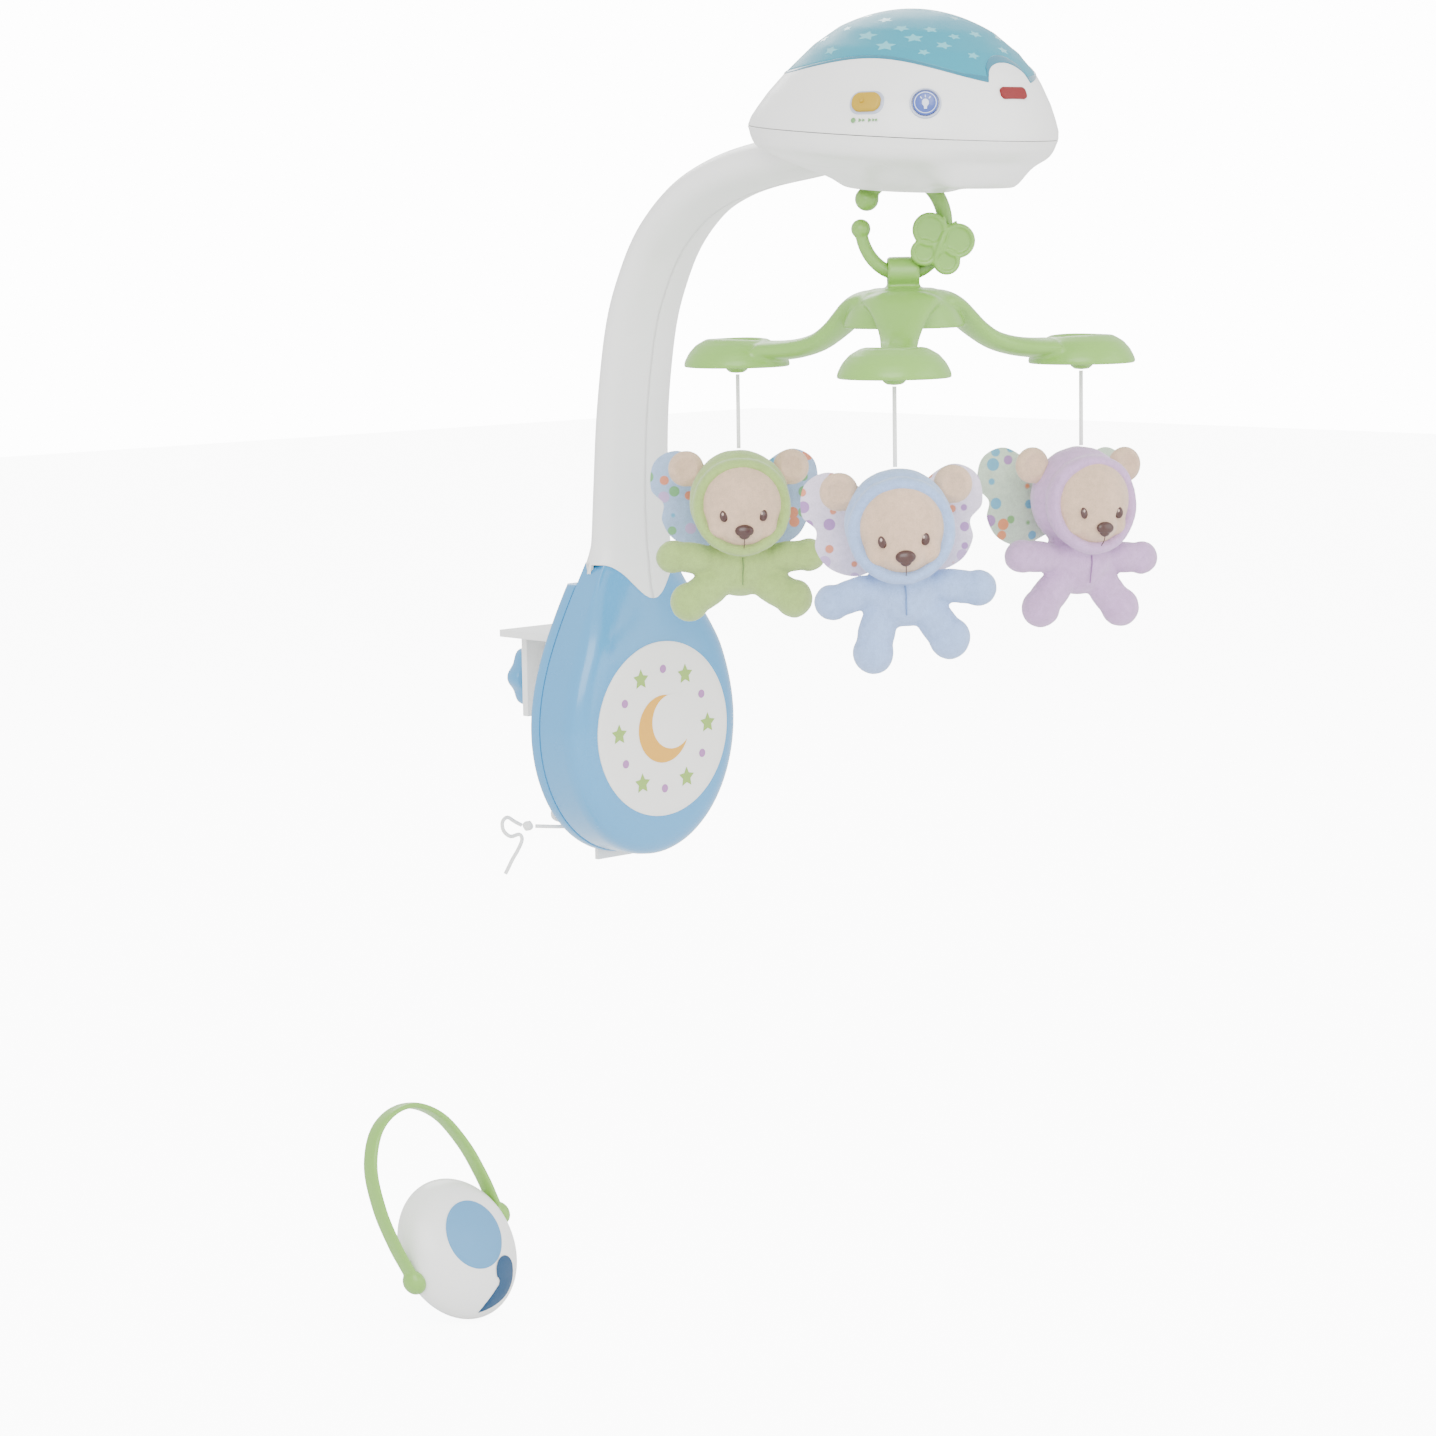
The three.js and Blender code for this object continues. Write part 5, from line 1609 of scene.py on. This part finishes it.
@dataclass
class Bear:
    """A plush bear in a hooded suit with sewn wings, hanging from a cord."""

    name: str
    yaw: float
    lean: float
    arms: Tuple[Tuple[float, float], Tuple[float, float]]
    legs: Tuple[Tuple[float, float, float], Tuple[float, float, float]]
    top: float = 151.5

    def place(self) -> Matrix:
        """Gives the bear's frame: facing -Y, the hood's top at the origin."""
        low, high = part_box(f"string_{self.name}")
        x, y = (low.x + high.x) / 2 / MM, (low.y + high.y) / 2 / MM
        return (Matrix.Translation((x, y, self.top)) @ Matrix.Rotation(math.radians(self.yaw), 4, "Z")
                @ Matrix.Rotation(math.radians(self.lean), 4, "Y"))

    def moved(self, bm: bmesh.types.BMesh) -> bmesh.types.BMesh:
        """Moves a mesh from the bear's own frame to the row's frame."""
        bmesh.ops.transform(bm, matrix=self.place(), verts=bm.verts)
        return bm

    def suit(self) -> None:
        """Builds the suit: hood with its rolled edge, trunk, arms and legs in one soft skin."""
        bm = bmesh.new()
        ball(bm, (0, 1, -37.5), (36.5, 31, 37), sides=48)
        for i in range(40):
            a = 2 * math.pi * i / 40
            wide, tall = 31.8 * math.cos(a), 31.2 * math.sin(a)
            ball(bm, (wide, -21.0 + 0.06 * tall + 0.004 * wide * wide, -41 + tall), (4.8, 7.4, 4.8), sides=16)
        ball(bm, (0, 2, -84), (27, 21, 24), sides=40)
        ball(bm, (0, 1, -93), (21.5, 18.5, 14), sides=32)
        for side, (angle, reach) in zip((-1, 1), self.arms):
            a = math.radians(angle)
            centre = (side * (24 + reach * math.cos(a) / 2), -4, -80 + reach * math.sin(a) / 2)
            ball(bm, centre, (reach / 2 + 12.5, 11.5, 11.5), (0, -side * angle, 0))
            ball(bm, (side * (26 + reach * math.cos(a)), -5, -80 + reach * math.sin(a)), (12.6, 12, 12.2))
        for side, (angle, reach, forward) in zip((-1, 1), self.legs):
            a = math.radians(angle)
            hip = Vector((side * 16, 0, -97))
            foot = hip + Vector((side * reach * math.sin(a), -forward, -reach * math.cos(a)))
            middle = (hip + foot) / 2
            ball(bm, tuple(middle), (13, 12.5, reach / 2 + 11), (forward * 0.8, -side * angle, 0))
            ball(bm, tuple(foot), (14.2, 13.6, 14.6))
        item = mesh_piece(f"suit_{self.name}", self.moved(bm), SUITS[self.name])
        fused(item, 1.7, 7)
        lumps = bpy.data.textures.new(f"stuffing_{self.name}", "CLOUDS")
        lumps.noise_scale = 0.02
        swell = item.modifiers.new("stuffing", "DISPLACE")
        swell.texture = lumps
        swell.texture_coords = "LOCAL"
        swell.strength = 0.0016
        swell.mid_level = 0.5
        applied(item)
        bpy.data.textures.remove(lumps)
        dress(item, SUITS[self.name], f"plush_{self.name}", [f"bear_{self.name}"])

    def face(self) -> None:
        """Builds the face with its muzzle, and the ears, in pale pile."""
        bm = bmesh.new()
        ball(bm, (0, -10.5, -38.5), (32, 24.5, 33), sides=48)
        ball(bm, (0, -24, -55.5), (16, 12.5, 11.5), sides=32)
        ball(bm, (0, -15, -60), (20, 16, 12), sides=32)
        for side in (-1, 1):
            ball(bm, (side * 17, -20, -55), (9, 9, 10))
        item = mesh_piece(f"face_{self.name}", self.moved(bm), FACE)
        fused(item, 1.4, 12)
        dress(item, FACE, f"plush_{self.name}")
        bm = bmesh.new()
        for side in (-1, 1):
            ball(bm, (side * 38.5, 3, -14), (13.4, 6.6, 13.2), (0, side * 30, 0))
            ball(bm, (side * 32, 4, -20), (8, 6.0, 8), (0, side * 30, 0))
        item = mesh_piece(f"ears_{self.name}", self.moved(bm), FACE)
        fused(item, 1.2, 5)
        for vert in item.data.vertices:
            local = self.place().inverted() @ (vert.co / MM)
            away = math.hypot(abs(local.x) - 39.0, local.z + 13.5)
            if local.y < 2 and away < 8.0:
                pushed = local + Vector((0, 3.4 * (1 - (away / 8.0) ** 2), 0))
                vert.co = (self.place() @ pushed) * MM
        dress(item, FACE, f"plush_{self.name}")

    def features(self) -> None:
        """Builds the stitched eyes and nose with pale glints painted on as highlights, the stitched chin
        line, and a dark line of painted shade down the front seam.
        """
        bm = bmesh.new()
        for side in (-1, 1):
            ball(bm, (side * 14.2, -31.6, -46.5), (3.3, 1.7, 4.3), (-8, 0, side * -16), 24)
        ball(bm, (0, -37.4, -57.0), (6.9, 3.0, 4.5), (-6, 0, 0), 28)
        ball(bm, (0, -36.9, -59.6), (4.2, 2.6, 3.8), (-6, 0, 0), 24)
        item = mesh_piece(f"eyes_{self.name}", self.moved(bm), THREAD)
        dress(item, THREAD, f"plush_{self.name}")
        bm = bmesh.new()
        # Small pale dots on the eyes: painted highlights.
        for side in (-1, 1):
            ball(bm, (side * 14.2 - 1.0, -33.2, -45.0), (0.8, 0.4, 1.1), (0, 0, 0), 12)
        dress(mesh_piece(f"glints_{self.name}", self.moved(bm), GLINT), GLINT, f"plush_{self.name}")
        place = self.place()
        # The chin line is stitched thread; the front line is painted shade of the seam's groove.
        lines = {
            "chin": ([(0, -37.6, -62), (0, -36.4, -66), (0, -32.6, -70)], 0.35),
            "front": ([(0, -19.5, -78), (0.4, -19.6, -84), (0, -19.2, -91), (0, -18.2, -98)], 0.5),
        }
        for label, (points, radius) in lines.items():
            moved = [tuple(place @ Vector(p)) for p in points]
            finish = SEAM_SHADES[self.name] if label == "front" else THREAD
            item = meshed(line_piece(f"seam_{label}_{self.name}", moved, radius, finish))
            dress(item, finish, f"plush_{self.name}")

    def wings(self) -> None:
        """Builds the sewn wings: a puffed pair of lobes on each side with a hem round them."""
        half = ((4, -36), (22, -14), (42, -3), (59, -11), (62, -31), (53, -42), (54, -55), (45, -69),
                (26, -75), (4, -66))
        loop = [*half, *[(-x, z) for x, z in reversed(half)], half[0]]
        outline = through(loop, 161)[:-1]
        rings = []
        for share, puff in ((0.02, 2.2), (0.25, 2.3), (0.5, 2.1), (0.72, 1.7), (0.88, 1.1), (0.96, 0.6),
                            (1.0, 0.0),
                            (0.96, -0.6), (0.88, -1.1), (0.72, -1.7), (0.5, -2.1), (0.25, -2.3),
                            (0.02, -2.2)):
            rings.append([Vector((x * share, 36.5 + puff + 0.0012 * (x * share) ** 2, -40 + (z + 40) * share))
                          for x, z in outline])
        bm = bmesh.new()
        skinned(bm, rings)
        finish = WING_PRINTS[self.name]
        item = mesh_piece(f"wing_pair_{self.name}", self.moved(bm), finish, 80.0)
        dress(item, finish, f"plush_{self.name}", [f"wings_{self.name}"])

    def build(self) -> None:
        """Builds the bear."""
        self.suit()
        self.face()
        self.features()
        self.wings()


# --- Remote -------------------------------------------------------------------------------------


@dataclass
class Remote:
    """The hand remote: an egg-shaped body in two shells, a press pad, a drop-shaped window and a handle."""

    at: Point = (-208.3, -71.2, -434.9)
    lean: float = -22.6
    roll: float = -20.0
    radii: Point = (48.0, 28.7, 54.0)
    seam_y: float = 12.0
    handle_forward: float = 12.0

    def place(self) -> Matrix:
        """Gives the remote's frame."""
        turn = (Matrix.Rotation(math.radians(self.lean), 4, "X")
                @ Matrix.Rotation(math.radians(self.roll), 4, "Y"))
        return Matrix.Translation(self.at) @ turn

    def shell(self, name: str, finish: Finish, low: float, high: float, replaced: Sequence[str]) -> None:
        """Builds a shell between two depths.

        Args:
            name: the piece's name.
            finish: its finish.
            low: the depth where it starts.
            high: the depth where it ends.
            replaced: the CAD nodes that it replaces.
        """
        bm = bmesh.new()
        ball(bm, (0, 0, 0), self.radii, sides=96)
        for depth, way in ((low, -1), (high, 1)):
            geometry = list(bm.verts) + list(bm.edges) + list(bm.faces)
            bmesh.ops.bisect_plane(bm, geom=geometry, plane_co=(0, depth, 0), plane_no=(0, way, 0),
                                   clear_outer=True)
        bmesh.ops.transform(bm, matrix=self.place(), verts=bm.verts)
        item = mesh_piece(name, bm, finish, 60.0)
        wall = item.modifiers.new("wall", "SOLIDIFY")
        wall.thickness = 2.2 * MM
        wall.offset = -1.0
        applied(item)
        dress(item, finish, "remote", replaced)

    def front(self, proud: float) -> Place:
        """Gives the place on the front for two numbers, standing proud by some millimetres."""
        rx, ry, rz = (r + proud for r in self.radii)

        def place(u: float, v: float) -> Vector:
            """Gives the point for a place across and a height."""
            depth = ry * math.sqrt(max(0.0, 1 - (u / rx) ** 2 - (v / rz) ** 2))
            return self.place() @ Vector((u, -depth, v))

        return place

    def drop(self) -> List[Tuple[float, float]]:
        """Gives the outline of the drop-shaped window: a round head and a tail that curls to one side."""
        head, bend, tip = Vector((9.5, -31.0)), Vector((8.0, -46.5)), Vector((-22.0, -45.0))
        sides: Tuple[List[Vector], List[Vector]] = ([], [])
        for i in range(1, 15):
            t = i / 14
            at = head * (1 - t) ** 2 + bend * (2 * t * (1 - t)) + tip * t * t
            along = ((bend - head) * (1 - t) + (tip - bend) * t).normalized()
            wide = Vector((-along.y, along.x)) * 10.2 * (1 - t) ** 0.8
            sides[0].append(at + wide)
            sides[1].append(at - wide)
        start = math.atan2(bend.x - head.x, head.y - bend.y)
        cap = [head + 10.2 * Vector((math.cos(start + a), math.sin(start + a)))
               for a in (math.pi * (1 - i / 14) for i in range(15))]
        return [tuple(v) for v in [*cap, *sides[0], *reversed(sides[1][:-1])]]

    def details(self) -> None:
        """Builds the press pad and the signal window."""
        bm = bmesh.new()
        patch(bm, disc(24.0, (1, 6.5), 1.06, count=64), self.front(0.5), 8, 1.6)
        dress(mesh_piece("press_pad", bm, PAD_BLUE, 50.0), PAD_BLUE, "remote_pad", ["remote_pad"])
        bm = bmesh.new()
        patch(bm, self.drop(), self.front(0.5), 5, 1.2)
        dress(mesh_piece("signal_window", bm, WINDOW, 50.0), WINDOW, "remote", ["remote_signal_window"])

    def handle(self) -> None:
        """Builds the handle: a flat strap in an arch with a round boss at each end."""
        rows = ((49.0, 3), (50.0, 16), (50.6, 34), (48.5, 62), (39.5, 92), (21.5, 112), (0, 118))
        arch = [*rows, *[(-x, z) for x, z in reversed(rows[:-1])]]
        line = [(x - 0.05 * z, z) for x, z in through(arch, 73)]
        rings = []
        for k, (x, z) in enumerate(line):
            before, after = line[max(0, k - 1)], line[min(len(line) - 1, k + 1)]
            along = Vector((after[0] - before[0], after[1] - before[1])).normalized()
            across = Vector((along.y, -along.x))
            ring = []
            for i in range(24):
                a = 2 * math.pi * i / 24
                wide = 6.8 * math.copysign(abs(math.cos(a)) ** 0.7, math.cos(a))
                deep = 2.4 * math.copysign(abs(math.sin(a)) ** 0.7, math.sin(a))
                ring.append(Vector((x + across.x * deep, wide, z + across.y * deep)))
            rings.append(ring)
        bm = bmesh.new()
        skinned(bm, rings)
        for side in (-1, 1):
            ball(bm, (side * 49.5, 0, 1), (7.4, 9.6, 9.6))
        turn = Matrix.Rotation(math.radians(self.handle_forward), 4, "X")
        bmesh.ops.transform(bm, matrix=self.place() @ turn, verts=bm.verts)
        item = fused(mesh_piece("handle_strap", bm, GREEN), 0.8, 5)
        dress(item, GREEN, "remote_handle", ["remote_handle"])

    def build(self) -> None:
        """Builds the remote."""
        self.shell("remote_front", WHITE, -200.0, self.seam_y - 0.25, ["remote_front_shell"])
        self.shell("remote_back", BASE_BLUE, self.seam_y + 0.25, 200.0, ["remote_back_shell"])
        self.details()
        self.handle()


# --- Pieces kept from the CAD model -------------------------------------------------------------


@dataclass
class Workings:
    """The CAD pieces whose shape is right: they get their finishes."""

    finishes: Tuple[Tuple[Finish, Tuple[str, ...]], ...] = (
        (WHITE,
         ("clamp_bracket", "clamp_nut", "clamp_screw", "arm_spigot", "battery_door_1", "battery_door_2")),
        (DARK, ("clamp_pad", "speaker", "star_drum")),
        (GEAR_WHITE, ("output_gear", "reduction_gear", "gearbox_plate", "star_lamp")),
        (ORANGE, ("output_hook",)),
        (BRASS, ("motor_pinion",)),
        (BOARD, ("circuit_board", "remote_board")),
        (STEEL, ("base_screw_left", "base_screw_right", "drive_motor", "battery_cell_1", "battery_cell_2",
                 "battery_cell_3", "battery_cell_4", "remote_cell_1", "remote_cell_2")),
    )

    def build(self) -> None:
        """Gives each kept piece its finish."""
        for finish, names in self.finishes:
            for name in names:
                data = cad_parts[name].data
                data.materials.clear()
                data.materials.append(finish.material())
                log.info("finished %s", name)


def main() -> None:
    """Builds the studio, the cords and then every sub-assembly in order."""
    logging.basicConfig(level=logging.INFO, format="%(name)s: %(message)s")
    Studio().build()
    Cords().build()
    base = Base()
    base.build()
    Arm(base).build()
    Head().build()
    Controls().build()
    Hanging().build()
    Bear("green", -39.0, 0.0, ((6, 24), (4, 24)), ((58, 26, 6), (60, 26, 6))).build()
    Bear("blue", -41.0, -3.0, ((-18, 23), (-10, 25)), ((14, 27, 4), (34, 24, 4))).build()
    Bear("lilac", -19.0, 2.0, ((2, 24), (-4, 24)), ((42, 26, 6), (40, 26, 6))).build()
    Remote().build()
    Workings().build()


if __name__ == "__main__":
    main()
